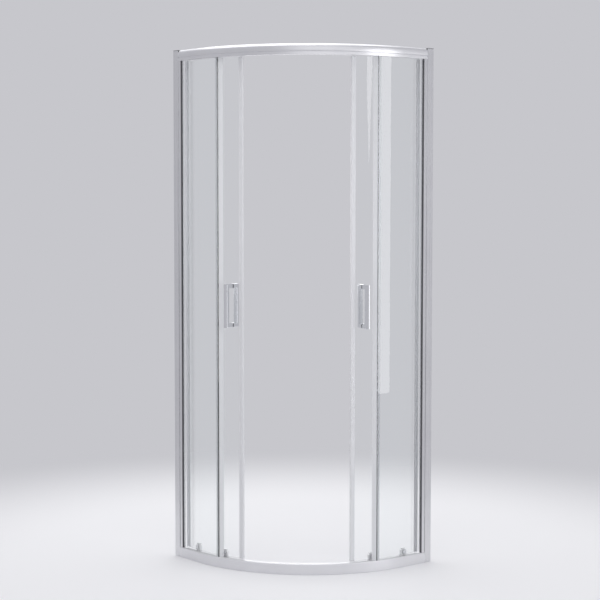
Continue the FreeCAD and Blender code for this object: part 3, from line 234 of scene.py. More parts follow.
@dataclass(frozen=True)
class Front:
    """The bent front: its plan along the outer face of the rails, and what its pieces share.

    free_edge is the angle on the bend at which a fixed pane ends, in degrees.
    """

    size: float = 700.0
    radius: float = 550.0
    height: float = 1950.0
    top_height: float = 41.0
    bottom_height: float = 39.0
    profile_depth: float = 30.0
    slot_out: float = 3.0
    slot_in: float = 12.0
    glass_inset: float = 7.5
    free_edge: float = -78.38288

    @property
    def top_mouth(self) -> float:
        """Height of the mouth of the top rail's slot, which is the underside of the rail."""
        return self.height - self.top_height

    @property
    def straight(self) -> float:
        """Length of each straight end, measured from the wall."""
        return self.size - self.radius

    @property
    def centre(self) -> np.ndarray:
        """Centre of the bend in plan."""
        return np.array([self.size / 2 - self.radius, self.radius - self.size / 2])

    def course(self, start: float, bend: tuple[float, float], through: bool) -> Course:
        """Stations along the front: straight, round the bend and, if asked, straight again.

        On the bend a place is the centre plus the radius times (cos a, sin a), and the first axis
        points back to the centre.

        Args:
            start: Distance of the first station from the left wall.
            bend: The first and last angle on the bend, in degrees, with -90 where it begins.
            through: Whether the far straight follows, as on the rails.

        Returns:
            The course, with the inset as first axis and up as second.
        """
        half = self.size / 2
        steps = max(2, int(abs(bend[1] - bend[0])))
        angles = np.radians(np.linspace(bend[0], bend[1], steps + 1))
        spoke = np.stack([np.cos(angles), np.sin(angles)], axis=1)
        places = [self.centre + self.radius * spoke]
        inward = [-spoke]
        if start < self.straight:
            places.insert(0, np.array([[start - half, -half]]))
            inward.insert(0, np.array([[0.0, 1.0]]))
        if through:
            places.append(np.array([[half, half - start]]))
            inward.append(np.array([[-1.0, 0.0]]))
        plan = np.concatenate(places)
        first = np.concatenate(inward)
        flat = np.zeros((len(plan), 1))
        up = np.tile([0.0, 0.0, 1.0], (len(plan), 1))
        steps_between = np.linalg.norm(np.diff(plan, axis=0), axis=1)
        distance = np.concatenate([[0.0], np.cumsum(steps_between)])
        return Course(np.hstack([plan, flat]), np.hstack([first, flat]), up, distance)


def carry(
    name: str,
    section: np.ndarray,
    course: Course,
    side: Side = Side.LEFT,
    second: np.ndarray | None = None,
) -> Mesh:
    """A closed solid: a section carried along a course, with both ends capped.

    The point of section corner (a, b) at station i is place_i + a first_i + b second_i.  The UV
    map holds the distance along the course and the distance round the section, in metres.

    Args:
        name: The name of the mesh.
        section: The outline, in millimetres.
        course: The stations.
        side: Which half the piece belongs to.
        second: Per side of the section, whether its faces wear the second material.

    Returns:
        The finished mesh.
    """
    stations, corners = len(course.places), len(section)
    along_first = section[None, :, 0:1] * course.first[:, None]
    along_second = section[None, :, 1:2] * course.second[:, None]
    points = course.places[:, None] + along_first + along_second
    index = np.arange(stations * corners).reshape(stations, corners)
    following = np.roll(index, -1, axis=1)
    quads = np.stack([index[:-1], index[1:], following[1:], following[:-1]], axis=-1)
    caps = [index[0].tolist(), index[-1, ::-1].tolist()]

    around = np.linalg.norm(np.roll(section, -1, axis=0) - section, axis=1)
    round_start = np.concatenate([[0.0], np.cumsum(around)])
    along = np.broadcast_to(course.distance[:, None], (stations, corners))
    here = np.broadcast_to(round_start[None, :-1], (stations, corners))
    there = np.broadcast_to(round_start[None, 1:], (stations, corners))
    side_u = np.stack([along[:-1], along[1:], along[1:], along[:-1]], axis=-1)
    side_v = np.stack([here[:-1], here[1:], there[1:], there[:-1]], axis=-1)
    side_uv = np.stack([side_u, side_v], axis=-1).reshape(-1, 2)
    uv = np.concatenate([side_uv, section, section[::-1]]) * MM

    mesh = bpy.data.meshes.new(name)
    spots = (side.place(points) * MM).reshape(-1, 3)
    mesh.from_pydata(spots.tolist(), [], quads.reshape(-1, 4).tolist() + caps)
    layer = mesh.uv_layers.new(name="run")
    layer.data.foreach_set("uv", uv.astype(np.float32).ravel())
    if second is not None:
        worn = np.concatenate([np.tile(second, stations - 1), [False, False]])
        mesh.polygons.foreach_set("material_index", worn.astype(np.int32))
    work = bmesh.new()
    work.from_mesh(mesh)
    bmesh.ops.recalc_face_normals(work, faces=work.faces)
    work.to_mesh(mesh)
    work.free()
    return smooth(mesh)


def smooth(mesh: Mesh, angle: float = SHARP) -> Mesh:
    """Smooth a mesh but for its sharp edges.

    Args:
        mesh: The mesh.
        angle: Edges that turn by more than this many degrees stay sharp.

    Returns:
        The same mesh.
    """
    mesh.polygons.foreach_set("use_smooth", np.ones(len(mesh.polygons), bool))
    mesh.set_sharp_from_angle(angle=math.radians(angle))
    mesh.update()
    return mesh


def welded_copy(node: str, angle: float = SHARP) -> Mesh:
    """A copy of a CAD node's mesh with its loose triangles joined and its curves smoothed.

    Args:
        node: The name of the CAD node.
        angle: Edges that turn by more than this many degrees stay sharp.

    Returns:
        The new mesh.
    """
    mesh = bpy.data.meshes.new(node + "_fine")
    work = bmesh.new()
    work.from_mesh(frame["nodes"][node].data)
    bmesh.ops.remove_doubles(work, verts=work.verts, dist=0.002 * MM)
    flat = math.radians(0.3)
    bmesh.ops.dissolve_limit(work, angle_limit=flat, verts=work.verts, edges=work.edges)
    work.to_mesh(mesh)
    work.free()
    return smooth(mesh, angle)


# ---------------------------------------------------------------- materials


def linear(colour: str) -> tuple[float, float, float, float]:
    """An sRGB hex colour as linear red, green and blue, with full alpha.

    Args:
        colour: Six hex digits after a hash.

    Returns:
        Four numbers from 0 to 1.
    """
    parts = np.array([int(colour[i : i + 2], 16) / 255 for i in (1, 3, 5)])
    light = np.where(parts <= 0.04045, parts / 12.92, ((parts + 0.055) / 1.055) ** 2.4)
    return (*light.tolist(), 1.0)


def add_node(
    tree: NodeTree, kind: str, inputs: Mapping[Any, Any] | None = None, **settings: Any
) -> Node:
    """Add one node with its settings and what goes into it.

    Args:
        tree: The node tree.
        kind: The node's type, without the ShaderNode in front.
        inputs: Per input name or number, a value or the socket that is linked to it.
        settings: Properties of the node itself.

    Returns:
        The node.
    """
    node = tree.nodes.new("ShaderNode" + kind)
    for key, setting in settings.items():
        setattr(node, key, setting)
    for key, given in (inputs or {}).items():
        if isinstance(given, NodeSocket):
            tree.links.new(given, node.inputs[key])
        else:
            node.inputs[key].default_value = given
    return node


class Recipe:
    """A node material in the making, with the kinds of node that the finishes share."""

    def __init__(self, name: str) -> None:
        """Start an empty material.

        Args:
            name: The name of the material.
        """
        self.material = bpy.data.materials.new(name)
        self.material.use_nodes = True
        self.tree = self.material.node_tree
        self.tree.nodes.clear()
        self.places = add_node(self.tree, "TexCoord").outputs

    def noise(
        self,
        scale: float | tuple[float, float, float],
        detail: float,
        source: str = "Object",
        roughness: float = 0.5,
    ) -> NodeSocket:
        """Noise over the surface.

        Args:
            scale: Its waves per metre, as one number or as one for each axis.
            detail: How many finer layers it has.
            source: The name of the coordinates that it follows.
            roughness: How strong each layer is, against the coarser one before it.

        Returns:
            A value from 0 to 1.
        """
        vector = self.places[source]
        if isinstance(scale, tuple):
            vector = add_node(self.tree, "Mapping", {"Vector": vector, "Scale": scale}).outputs[0]
            scale = 1.0
        inputs = {"Vector": vector, "Scale": scale, "Detail": detail, "Roughness": roughness}
        return add_node(self.tree, "TexNoise", inputs).outputs[0]

    def blend(self, share: NodeSocket, colour: str, other: str) -> NodeSocket:
        """A mix of two hex colours, with the share of the second one."""
        inputs = {0: share, 6: linear(colour), 7: linear(other)}
        return add_node(self.tree, "Mix", inputs, data_type="RGBA").outputs[2]

    def spread(self, value: NodeSocket, start: float, low: float, high: float) -> NodeSocket:
        """Spread the value's range from start to 0.7, which noise rarely tops, over low to high."""
        inputs = {0: value, 1: start, 2: 0.7, 3: low, 4: high}
        return add_node(self.tree, "MapRange", inputs).outputs[0]

    def relief(self, height: NodeSocket, strength: float, depth: float) -> NodeSocket:
        """The normal over a relief that is so many millimetres deep."""
        inputs = {"Height": height, "Strength": strength, "Distance": depth * MM}
        return add_node(self.tree, "Bump", inputs).outputs[0]

    def close(self, shader: NodeSocket) -> Material:
        """Link the last shader to the output and hand the material over."""
        add_node(self.tree, "OutputMaterial", {"Surface": shader})
        return self.material

    def surface(self, inputs: Mapping[str, Any]) -> Material:
        """Close the material with one surface that has these properties."""
        return self.close(add_node(self.tree, "BsdfPrincipled", inputs).outputs[0])


@dataclass(frozen=True)
class AnodisedAluminium:
    """Aluminium extrusion, brightened and anodised: fine die lines along its length and a slight
    cloud in its colour, so that reflections are drawn out along the bar."""

    name: str
    colour: str
    shadow: str
    roughness: float
    run: Run
    line_spacing: float = 1.1
    line_depth: float = 0.02
    line_changes: float = 1.5
    cloud_size: float = 90.0

    def make(self) -> Material:
        """Make the material.

        Real die lines are about 0.2 mm apart; they are drawn coarser to show.

        Returns:
            The material.
        """
        recipe = Recipe(self.name)
        lines = 1 / (self.line_spacing * MM)
        if self.run is Run.ALONG_RAIL:
            streak = recipe.noise((self.line_changes, lines, 0.0), 3.0, "UV", 0.6)
        else:
            streak = recipe.noise((lines, lines, self.line_changes), 3.0, "Object", 0.6)
        cloud = recipe.noise(1 / (self.cloud_size * MM), 2.0)
        smoothest, roughest = self.roughness - 0.03, self.roughness + 0.05
        return recipe.surface(
            {
                "Base Color": recipe.blend(cloud, self.colour, self.shadow),
                "Metallic": 1.0,
                "Roughness": recipe.spread(streak, 0.3, smoothest, roughest),
                "Normal": recipe.relief(streak, 0.08, self.line_depth),
            }
        )


@dataclass(frozen=True)
class FloatGlass:
    """Clear toughened float glass: flawless faces with the faint long wave that the rollers of the
    toughening oven leave, which only reflections show."""

    name: str = "clear_float_glass"
    colour: str = "#feffff"
    wave_length: float = 280.0
    wave_width: float = 2500.0
    wave_depth: float = 0.02

    def make(self) -> Material:
        """Make the material.

        The waves lie across the pane, one above the other.

        Returns:
            The material.
        """
        recipe = Recipe(self.name)
        across, along = 1 / (self.wave_width * MM), 1 / (self.wave_length * MM)
        wave = recipe.noise((across, across, along), 0.0)
        return recipe.surface(
            {
                "Base Color": linear(self.colour),
                "Roughness": 0.0,
                "IOR": 1.52,
                "Transmission Weight": 1.0,
                "Normal": recipe.relief(wave, 0.1, self.wave_depth),
            }
        )


@dataclass(frozen=True)
class WorkedEdge:
    """The flat edge of float glass, ground or polished after cutting, with the wheel's lines."""

    name: str
    colour: str
    streak_colour: str
    gloss: float
    line_spacing: float = 5 / 3
    line_length: float = 25.0

    def make(self) -> Material:
        """Make the material.

        The lines of the wheel are drawn coarser than they are, 1.7 mm apart, so that they show.

        Returns:
            The material.
        """
        recipe = Recipe(self.name)
        across, along = 1 / (self.line_spacing * MM), 1 / (self.line_length * MM)
        streak = recipe.noise((across, across, along), 2.0)
        return recipe.surface(
            {
                "Base Color": recipe.blend(streak, self.colour, self.streak_colour),
                "Roughness": 0.42,
                "IOR": 1.52,
                "Specular IOR Level": self.gloss,
            }
        )


@dataclass(frozen=True)
class SoftProfile:
    """Extruded PVC or rubber: an even colour with faint flow lines up its length, waxy gloss."""

    name: str
    colour: str
    flow_colour: str
    roughness: float
    transmission: float = 0.0
    ior: float = 1.53
    relief: float = 0.03
    line_spacing: float = 1.5
    line_changes: float = 0.3

    def make(self) -> Material:
        """Make the material.

        Flow lines are a few tenths of a millimetre apart and drawn coarser.

        Returns:
            The material.
        """
        recipe = Recipe(self.name)
        lines = 1 / (self.line_spacing * MM)
        flow = recipe.noise((lines, lines, self.line_changes), 3.0)
        return recipe.surface(
            {
                "Base Color": recipe.blend(flow, self.colour, self.flow_colour),
                "Roughness": self.roughness,
                "IOR": self.ior,
                "Transmission Weight": self.transmission,
                "Normal": recipe.relief(flow, 0.1, self.relief),
            }
        )


@dataclass(frozen=True)
class MouldedPlastic:
    """Injection-moulded plastic: an even colour with the fine spark-eroded grain of the mould."""

    name: str
    colour: str
    worn_colour: str
    roughness: float
    grain: float = 0.8
    grain_depth: float = 0.03
    cloud_size: float = 22.22
    subsurface: float = 0.0

    def make(self) -> Material:
        """Make the material.

        The grain of a mould is about 0.1 mm; it is drawn coarser to show.

        Returns:
            The material.
        """
        recipe = Recipe(self.name)
        grain = recipe.noise(1 / (self.grain * MM), 2.0)
        cloud = recipe.noise(1 / (self.cloud_size * MM), 3.0)
        return recipe.surface(
            {
                "Base Color": recipe.blend(cloud, self.colour, self.worn_colour),
                "Roughness": self.roughness,
                "IOR": 1.5,
                "Subsurface Weight": self.subsurface,
                "Subsurface Scale": 2 * MM,
                "Normal": recipe.relief(grain, 0.2, self.grain_depth),
            }
        )


@dataclass(frozen=True)
class PlatedMetal:
    """Chrome plate or bright steel: a clean mirror with a trace of polishing haze."""

    name: str
    colour: str
    roughness: float
    haze: float = 0.04
    haze_size: float = 12.0

    def make(self) -> Material:
        """Make the material.

        The haze comes and goes over about a centimetre.

        Returns:
            The material.
        """
        recipe = Recipe(self.name)
        haze = recipe.noise(1 / (self.haze_size * MM), 4.0)
        hazy = self.roughness + self.haze
        return recipe.surface(
            {
                "Base Color": linear(self.colour),
                "Metallic": 1.0,
                "Roughness": recipe.spread(haze, 0.35, self.roughness, hazy),
            }
        )


# By the record's slot name; the last three are worn by some faces of a piece only.
FINISHES = {
    # Toughened float glass: seen mostly by what it mirrors.
    "clear_glass": FloatGlass(),
    # Brightened and anodised: pale and even, with a soft, long highlight.
    "bright_aluminium": AnodisedAluminium(
        "bright_anodised_aluminium", "#e9e9eb", "#e0e0e3", 0.37, Run.ALONG_RAIL
    ),
    # Satin anodised: a shade darker, with a tighter upright highlight.
    "wall_aluminium": AnodisedAluminium(
        "satin_anodised_aluminium", "#e4e4e6", "#dadadd", 0.25, Run.UPRIGHT
    ),
    # PVC strip: flat grey, so that an empty slot reads as a plain band.
    "cover_strip": SoftProfile("grey_pvc_cover_strip", "#cfd0d3", "#c4c5c9", 0.35),
    # Moulded ABS: dull dark grey with broad, weak highlights.
    "grey_plastic": MouldedPlastic("dark_grey_moulded_abs", "#59595d", "#66666b", 0.45),
    # Glazing rubber: a dark line with hardly any gloss.
    "dark_gasket": SoftProfile("black_glazing_rubber", "#535358", "#5f5f64", 0.55, ior=1.5),
    # Rigid clear PVC: as clear as the glass, with small sharp highlights.
    "clear_seal": SoftProfile(
        "clear_rigid_pvc", "#fbfcfd", "#f6f8f9", 0.03, transmission=1.0, relief=0.004
    ),
    # PVC over a magnet: a milky bar that lets a little light through.
    "magnet_strip": SoftProfile(
        "milky_pvc_magnet_seal", "#eeeef1", "#e2e3e7", 0.3, transmission=0.2
    ),
    # Zinc plate on steel: a grey mirror, blurred here and there.
    "steel_screw": PlatedMetal("zinc_plated_steel", "#b9bbbe", 0.24, haze=0.1),
    # Moulded rubber: black and dull.
    "block_rubber": MouldedPlastic("black_moulded_rubber", "#262628", "#333336", 0.6),
    # Moulded nylon: black with a slight sheen.
    "black_washer": MouldedPlastic("black_moulded_nylon", "#18181a", "#242427", 0.38),
    # Polished chrome plate: a clean, bright mirror.
    "handle_chrome": PlatedMetal("polished_chrome_plate", "#e2e3e6", 0.05),
    # Chrome plate on cast zinc: a mirror a little softer than the handles.
    "roller_metal": PlatedMetal("chrome_plated_zinc", "#dcdde0", 0.09),
    # Moulded acetal: smooth and almost white beside the metal.
    "roller_plastic": MouldedPlastic("silver_moulded_acetal", "#f0f0f3", "#e6e6ea", 0.3),
    # Turned nylon: warm white, with light let in under its surface.
    "white_nylon": MouldedPlastic(
        "white_turned_nylon", "#ebe9e3", "#dedcd5", 0.4, subsurface=0.15
    ),
    # Soft PVC: milky, a pale line along the glass.
    "soft_fin": SoftProfile("milky_soft_pvc_fin", "#eeeff2", "#e3e4e8", 0.35, transmission=0.15),
    # Ground glass: a near-black line of painted shade, standing in for the darkness that the edge
    # shows because it looks into its own inside.
    "fixed_edge": WorkedEdge("ground_glass_edge_painted_shade", "#0e1010", "#1b1e1e", 0.2),
    # Polished glass: a grey-green line that catches the light.
    "door_edge": WorkedEdge("polished_glass_edge", "#a9b1af", "#bcc3c1", 0.5),
}
Palette = Mapping[str, Material]


# ---------------------------------------------------------------- pieces


def put(name: str, data: ID) -> Object:
    """Put a mesh, a lamp or a camera into the scene.

    Args:
        name: The name of the new object.
        data: What it holds.

    Returns:
        The object.
    """
    thing = bpy.data.objects.new(name, data)
    bpy.context.scene.collection.objects.link(thing)
    return thing


def add_piece(
    name: str,
    mesh: Mesh,
    node: str,
    slot: str,
    materials: Sequence[Material],
    eased: float = 0.0,
    clear: bool = False,
) -> None:
    """Put a finished mesh into the scene in place of a CAD node.

    Args:
        name: The name of the piece.
        mesh: Its mesh, placed in metres.
        node: The CAD node that it stands for; it rides on that node's body.
        slot: The record's material slot.
        materials: Its materials, in the order that its faces count them.
        eased: The width of the bevel that breaks its sharp edges, in millimetres, or 0 for none.
        clear: Whether it shades nothing behind it, as thin clear glass and PVC hardly do.
    """
    for material in materials:
        mesh.materials.append(material)
    piece = put(name, mesh)
    piece.visible_shadow = not clear
    if eased:
        bevel = piece.modifiers.new("eased_edges", "BEVEL")
        bevel.width = eased * MM
        bevel.segments = 2
        bevel.limit_method = "ANGLE"
        bevel.angle_limit = math.radians(40)
    flats = piece.modifiers.new("flats_stay_flat", "WEIGHTED_NORMAL")
    flats.keep_sharp = True
    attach(piece, frame["nodes"][node]["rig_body"])
    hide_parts(node)
    log.info("%s stands for %s: %d faces, %s", name, node, len(mesh.polygons), slot)


@dataclass
class Rails:
    """The two bent rails and the strips that close their empty slots."""

    palette: Palette
    front: Front
    depth: float = 36.0
    wall: float = 1.8
    rear_lip: float = 4.2
    slot_back: float = 13.4
    slot_depth: float = 9.0
    bead_out: float = 17.3
    bead_in: float = 19.1
    bead_height: float = 3.0
    bead_round: float = 1.4
    track_end: float = 21.5
    crown_radius: float = 14.0
    crown_wall: float = 2.9
    face_radius: float = 50.0
    face_step: float = 1.2
    lip_height: float = 10.5
    groove_depth: float = 0.9
    groove_height: float = 1.5
    groove_slope: float = 0.8
    edge_round: float = 2.0
    ease: float = 0.45
    screw_head: float = 3.9
    screw_shank: float = 2.1
    screw_sink: float = 1.2
    screw_reach: float = 2.4
    screw_from_wall: float = 37.0
    screw_inset: float = 23.76
    screw_corners: int = 32
    overcut: float = 0.1
    strip_gap: float = 0.15
    strip_skin: float = 1.2
    strip_ease: float = 0.3
    strip_clearance: float = 4.0

    @property
    def bead_shoulder(self) -> float:
        """Height of the bead where its rounding starts: the rounding is an arc over its width."""
        half_width = (self.bead_in - self.bead_out) / 2
        return self.bead_height - self.bead_round + math.sqrt(self.bead_round**2 - half_width**2)

    def top_section(self) -> np.ndarray:
        """Crowned face over a plain lip, glass slot below, ledge with the bead inside.

        Returns:
            The section, with heights from the underside of the rail.
        """
        front, top = self.front, self.front.top_height
        groove_top = self.lip_height + self.groove_height
        face_low = groove_top + self.groove_slope
        face_high = top - self.crown_radius
        half_face = (face_high - face_low) / 2
        sag = self.face_radius - math.sqrt(self.face_radius**2 - half_face**2)
        ledge = self.slot_depth + self.wall
        shoulder = ledge + self.bead_shoulder
        crown_end = sag + self.crown_radius
        inner = sag + self.crown_wall
        groove = self.face_step + self.groove_depth
        back = self.depth - self.wall
        corners = [
            (self.face_step, 0), (front.slot_out, 0), (front.slot_out, self.slot_depth),
            (front.slot_in, self.slot_depth), (front.slot_in, 0), (self.slot_back, 0),
            (self.slot_back, self.slot_depth), (self.track_end, self.slot_depth),
            (self.track_end, ledge), (self.bead_in, ledge), (self.bead_in, shoulder),
            Bow(self.bead_round, 1), (self.bead_out, shoulder), (self.bead_out, ledge),
            (inner, ledge), (inner, face_high + self.crown_wall - self.wall),
            Bow(self.crown_radius - self.crown_wall, -1), (crown_end, top - self.wall),
            (back, top - self.wall), (back, top - self.rear_lip),
            (self.depth, top - self.rear_lip), (self.depth, top), (crown_end, top),
            Bow(self.crown_radius, 1), (sag, face_high), Bow(self.face_radius, 1),
            (sag, face_low), (groove, groove_top), (groove, self.lip_height),
            (self.face_step, self.lip_height),
        ]
        return soften(trace(corners), self.ease)

    def bottom_section(self) -> np.ndarray:
        """Flat face and deck, glass slot in the deck, bead under it, open at the back.

        Returns:
            The section, with heights from the foot of the rail.
        """
        front, deck = self.front, self.front.bottom_height
        under = deck - self.wall
        floor = deck - self.slot_depth
        pocket = floor - (self.slot_back - front.slot_in)
        shoulder = under - self.bead_shoulder
        back = self.depth - self.wall
        corners = [
            (0, 0), (self.depth, 0), (self.depth, self.rear_lip + self.wall),
            (back, self.rear_lip + self.wall), (back, self.wall), (self.wall, self.wall),
            (self.wall, pocket), (self.slot_back, pocket), (self.slot_back, under),
            (self.bead_out, under), (self.bead_out, shoulder), Bow(self.bead_round, 1),
            (self.bead_in, shoulder), (self.bead_in, under), (self.track_end, under),
            (self.track_end, deck), (front.slot_in, deck), (front.slot_in, floor),
            (front.slot_out, floor), (front.slot_out, deck), (self.edge_round, deck),
            Bow(self.edge_round, 1), (0, deck - self.edge_round),
        ]
        return soften(trace(corners), self.ease)

    def screw_cutter(self, side: Side, level: float, way: int) -> Object:
        """A solid of one countersunk hole, to be cut from the end of a rail.

        It is a round section of radius 1, carried along the screw's axis while its own axes grow
        and shrink with the radius of the hole.

        Args:
            side: Which end of the rail.
            level: The height of the face that the screw goes into.
            way: 1 if it goes up from that face, or -1.

        Returns:
            The cutter, which is not part of the enclosure and is removed after use.
        """
        angles = np.linspace(0, 2 * math.pi, self.screw_corners, endpoint=False)
        circle = np.stack([np.cos(angles), np.sin(angles)], axis=1)
        depths = np.array([-2 * self.overcut, self.screw_sink - self.overcut, self.screw_reach])
        radii = np.array([self.screw_head + self.overcut, self.screw_shank, self.screw_shank])
        half = self.front.size / 2
        places = np.tile([self.screw_from_wall - half, self.screw_inset - half, level], (3, 1))
        places[:, 2] += depths * way
        widths = radii[:, None]
        course = Course(places, widths * [1, 0, 0], widths * [0, 1, 0], depths)
        return put("screw_cutter", carry("screw_cutter", circle, course, side))

    def drilled(self, mesh: Mesh, level: float, way: int) -> Mesh:
        """A rail with its screw holes cut.

        Args:
            mesh: The plain rail.
            level: The height of the face with the holes.
            way: 1 if the holes go up from that face, or -1.

        Returns:
            The drilled rail.
        """
        plain = put("plain_rail", mesh)
        cutters = [self.screw_cutter(side, level, way) for side in Side]
        for cutter in cutters:
            cut = plain.modifiers.new("hole", "BOOLEAN")
            cut.operation = "DIFFERENCE"
            cut.solver = "EXACT"
            cut.object = cutter
        graph = bpy.context.evaluated_depsgraph_get()
        drilled = bpy.data.meshes.new_from_object(plain.evaluated_get(graph))
        for spare in (plain, *cutters):
            bpy.data.objects.remove(spare)
        return smooth(drilled)

    def cover_section(self, mouth: float, way: int) -> np.ndarray:
        """Snap-in strip: a skin with two legs into the slot.

        Args:
            mouth: The height of the mouth of the slot.
            way: 1 if the legs point up, or -1.

        Returns:
            The section.
        """
        skin = self.strip_skin
        out, inside = self.front.slot_out + self.strip_gap, self.front.slot_in - self.strip_gap
        leg = mouth + way * self.slot_depth
        back = mouth + way * skin
        corners = [
            (inside, mouth), (inside, leg), (inside - skin, leg), (inside - skin, back),
            (out + skin, back), (out + skin, leg), (out, leg), (out, mouth),
        ]
        return soften(trace(corners), self.strip_ease)

    def build(self) -> None:
        """Make both rails and both cover strips."""
        front = self.front
        bright = [self.palette["bright_aluminium"]]
        strip = [self.palette["cover_strip"]]
        course = front.course(front.profile_depth, (-90, 0), True)
        lifted = self.top_section() + np.array([0.0, front.top_mouth])
        for node, section, level, way in (
            ("top_rail", lifted, front.height, -1),
            ("bottom_rail", self.bottom_section(), 0.0, 1),
        ):
            mesh = self.drilled(carry(node + "_bent", section, course), level, way)
            add_piece(node + "_bent", mesh, node, "bright_aluminium", bright)

        spare = math.degrees(self.strip_clearance / (front.radius - front.glass_inset))
        span = (front.free_edge + spare, -90 - front.free_edge - spare)
        arc = front.course(front.straight, span, False)
        for node, mouth, way in (
            ("top_slot_cover", front.top_mouth, 1),
            ("bottom_slot_cover", front.bottom_height, -1),
        ):
            mesh = carry(node + "_strip", self.cover_section(mouth, way), arc)
            add_piece(node + "_strip", mesh, node, "cover_strip", strip)


@dataclass(frozen=True)
class Clip:
    """The grip of a seal on an upright edge of the glass: two legs, one on each face of it."""

    face: float = 2.6
    outer: float = 3.8
    wall: float = 1.2
    leg: float = 9.0

    def section(self, head: Corners, way: int, ease: float = 0.3) -> np.ndarray:
        """The section of a seal that clips over the glass.

        Args:
            head: The corners of what the clip carries, from its outer leg round to its inner one.
            way: -1 if the glass is behind the edge, as seen towards the closing edge, or 1.
            ease: How far from each corner its rounding starts.

        Returns:
            The section.
        """
        leg = self.leg * way
        legs_out = [(self.face, 0.0), (self.face, leg), (self.outer, leg)]
        legs_in = [(-self.outer, leg), (-self.face, leg), (-self.face, 0.0)]
        return soften(trace([*legs_out, *head, *legs_in]), ease)


CLIP = Clip()


@dataclass
class FixedPane:
    """One fixed pane with its glazing wedges, its gasket and the seal on its free edge."""

    palette: Palette
    front: Front
    side: Side
    thickness: float = 5.0
    start: float = 32.0
    low: float = 32.0
    high: float = 1916.0
    arris: float = 0.7
    jamb_reach: float = 45.0
    gasket_gap: float = 0.2
    gasket_bed: float = 1.8
    gasket_bend: float = 1.2
    gasket_nose: float = 3.5
    gasket_flare: tuple[float, float] = (2.2, 13.2)
    gasket_ease: float = 0.3
    wedge_start: float = 50.0
    wedge_gap: float = 0.05
    wedge_depth: float = 6.0
    wedge_shoulder: float = 0.4
    wedge_crest: float = 0.9
    wedge_ease: float = 0.4
    seal_gap: float = 0.2
    fin_tip: tuple[tuple[float, float], ...] = ((-11.5, 16.0), (-12.5, 15.4))
    fin_start: float = 2.0

    @property
    def faces(self) -> tuple[float, float]:
        """The insets of the outer and the inner face of the glass."""
        half = self.thickness / 2
        return self.front.glass_inset - half, self.front.glass_inset + half

    def glass_mesh(self) -> Mesh:
        """The pane: an upright rectangle with arrised edges, carried along the front.

        Returns:
            The finished mesh, with the second material on its upright ends.
        """
        out, inside = self.faces
        corners = [(out, self.low), (inside, self.low), (inside, self.high), (out, self.high)]
        section = soften(trace(corners), self.arris, 1)
        course = self.front.course(self.start, (-90, self.front.free_edge), False)
        mesh = carry(f"fixed_glass_{self.side.value}_pane", section, course, self.side)
        sizes = np.empty(len(mesh.polygons), np.int32)
        mesh.polygons.foreach_get("loop_total", sizes)
        mesh.polygons.foreach_set("material_index", (sizes > 4).astype(np.int32))
        return mesh

    def gasket_section(self) -> np.ndarray:
        """Soft U round the edge of the glass.

        Returns:
            The section, as the distance from the wall and the inset.
        """
        front, reach, gap = self.front, self.jamb_reach, self.gasket_gap
        out, inside = self.faces
        back = front.profile_depth + gap
        bed = back + self.gasket_bed
        bend = reach + self.gasket_bend
        nose = reach + self.gasket_nose
        flare_out, flare_in = self.gasket_flare
        corners = [
            (back, front.slot_out), (reach, front.slot_out), (reach, flare_out),
            (bend, flare_out), (nose, out - gap), (nose, out), (bed, out), (bed, inside),
            (nose, inside), (nose, inside + gap), (bend, flare_in), (reach, flare_in),
            (reach, front.slot_in), (back, front.slot_in),
        ]
        return soften(trace(corners), self.gasket_ease)

    def edge_seal_section(self) -> np.ndarray:
        """Clip round the free edge with a fin that reaches for the door.

        Returns:
            The section.
        """
        outer, wall = CLIP.outer, CLIP.wall
        fin = [(outer, wall), (-wall, 2.5 * wall), *self.fin_tip, (-outer, 2 * wall)]
        return CLIP.section(fin, -1)

    def wedge_section(self, near: float, far: float, mouth: float, way: int) -> np.ndarray:
        """Light strip pressed between the glass and one lip of a rail's slot.

        Args:
            near: The inset of its face on the glass.
            far: The inset of its face on the lip.
            mouth: The height of the slot's mouth.
            way: 1 where the slot is below its mouth, so that the strip shows above it, or -1.

        Returns:
            The section, with a low dome that stands out of the mouth.
        """
        root = mouth - self.wedge_depth * way
        shoulder = mouth + self.wedge_shoulder * way
        crest = mouth + self.wedge_crest * way
        dome = [(far, shoulder), ((near + far) / 2, crest), (near, crest)]
        return soften(trace([(near, root), (far, root), *dome]), self.wedge_ease)

    def build_wedges(self) -> None:
        """Make the four strips that hold the pane in the slots of the two rails."""
        front, gap, tag = self.front, self.wedge_gap, self.side.value
        out, inside = self.faces
        course = front.course(self.wedge_start, (-90, front.free_edge), False)
        for level, mouth, way in (("bottom", front.bottom_height, 1), ("top", front.top_mouth, -1)):
            for face, near, far in (
                ("outer", out - gap, front.slot_out + gap),
                ("inner", inside + gap, front.slot_in - gap),
            ):
                name = f"{level}_glazing_wedge_{face}_{tag}"
                mesh = carry(name, self.wedge_section(near, far, mouth, way), course, self.side)
                mesh.materials.append(self.palette["soft_fin"])
                wedge = put(name, mesh)
                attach(wedge, frame["nodes"][f"fixed_glass_{tag}"]["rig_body"])
                log.info("%s: %d faces", name, len(mesh.polygons))

    def build(self) -> None:
        """Make the pane, its wedges, its gasket and its seal."""
        self.build_wedges()
        front, palette, side = self.front, self.palette, self.side
        node = f"fixed_glass_{side.value}"
        # The pane's upright ends wear the ground edge, whose near-black colour is painted shade.
        glass = [palette["clear_glass"], palette["fixed_edge"]]
        add_piece(node + "_pane", self.glass_mesh(), node, "clear_glass", glass, clear=True)

        node = f"glazing_gasket_{side.value}"
        corner = np.array([-front.size / 2, -front.size / 2])
        course = upright_course(corner, 0.0, front.bottom_height, front.top_mouth)
        mesh = carry(node + "_strip", self.gasket_section(), course, side)
        add_piece(node + "_strip", mesh, node, "dark_gasket", [palette["dark_gasket"]])

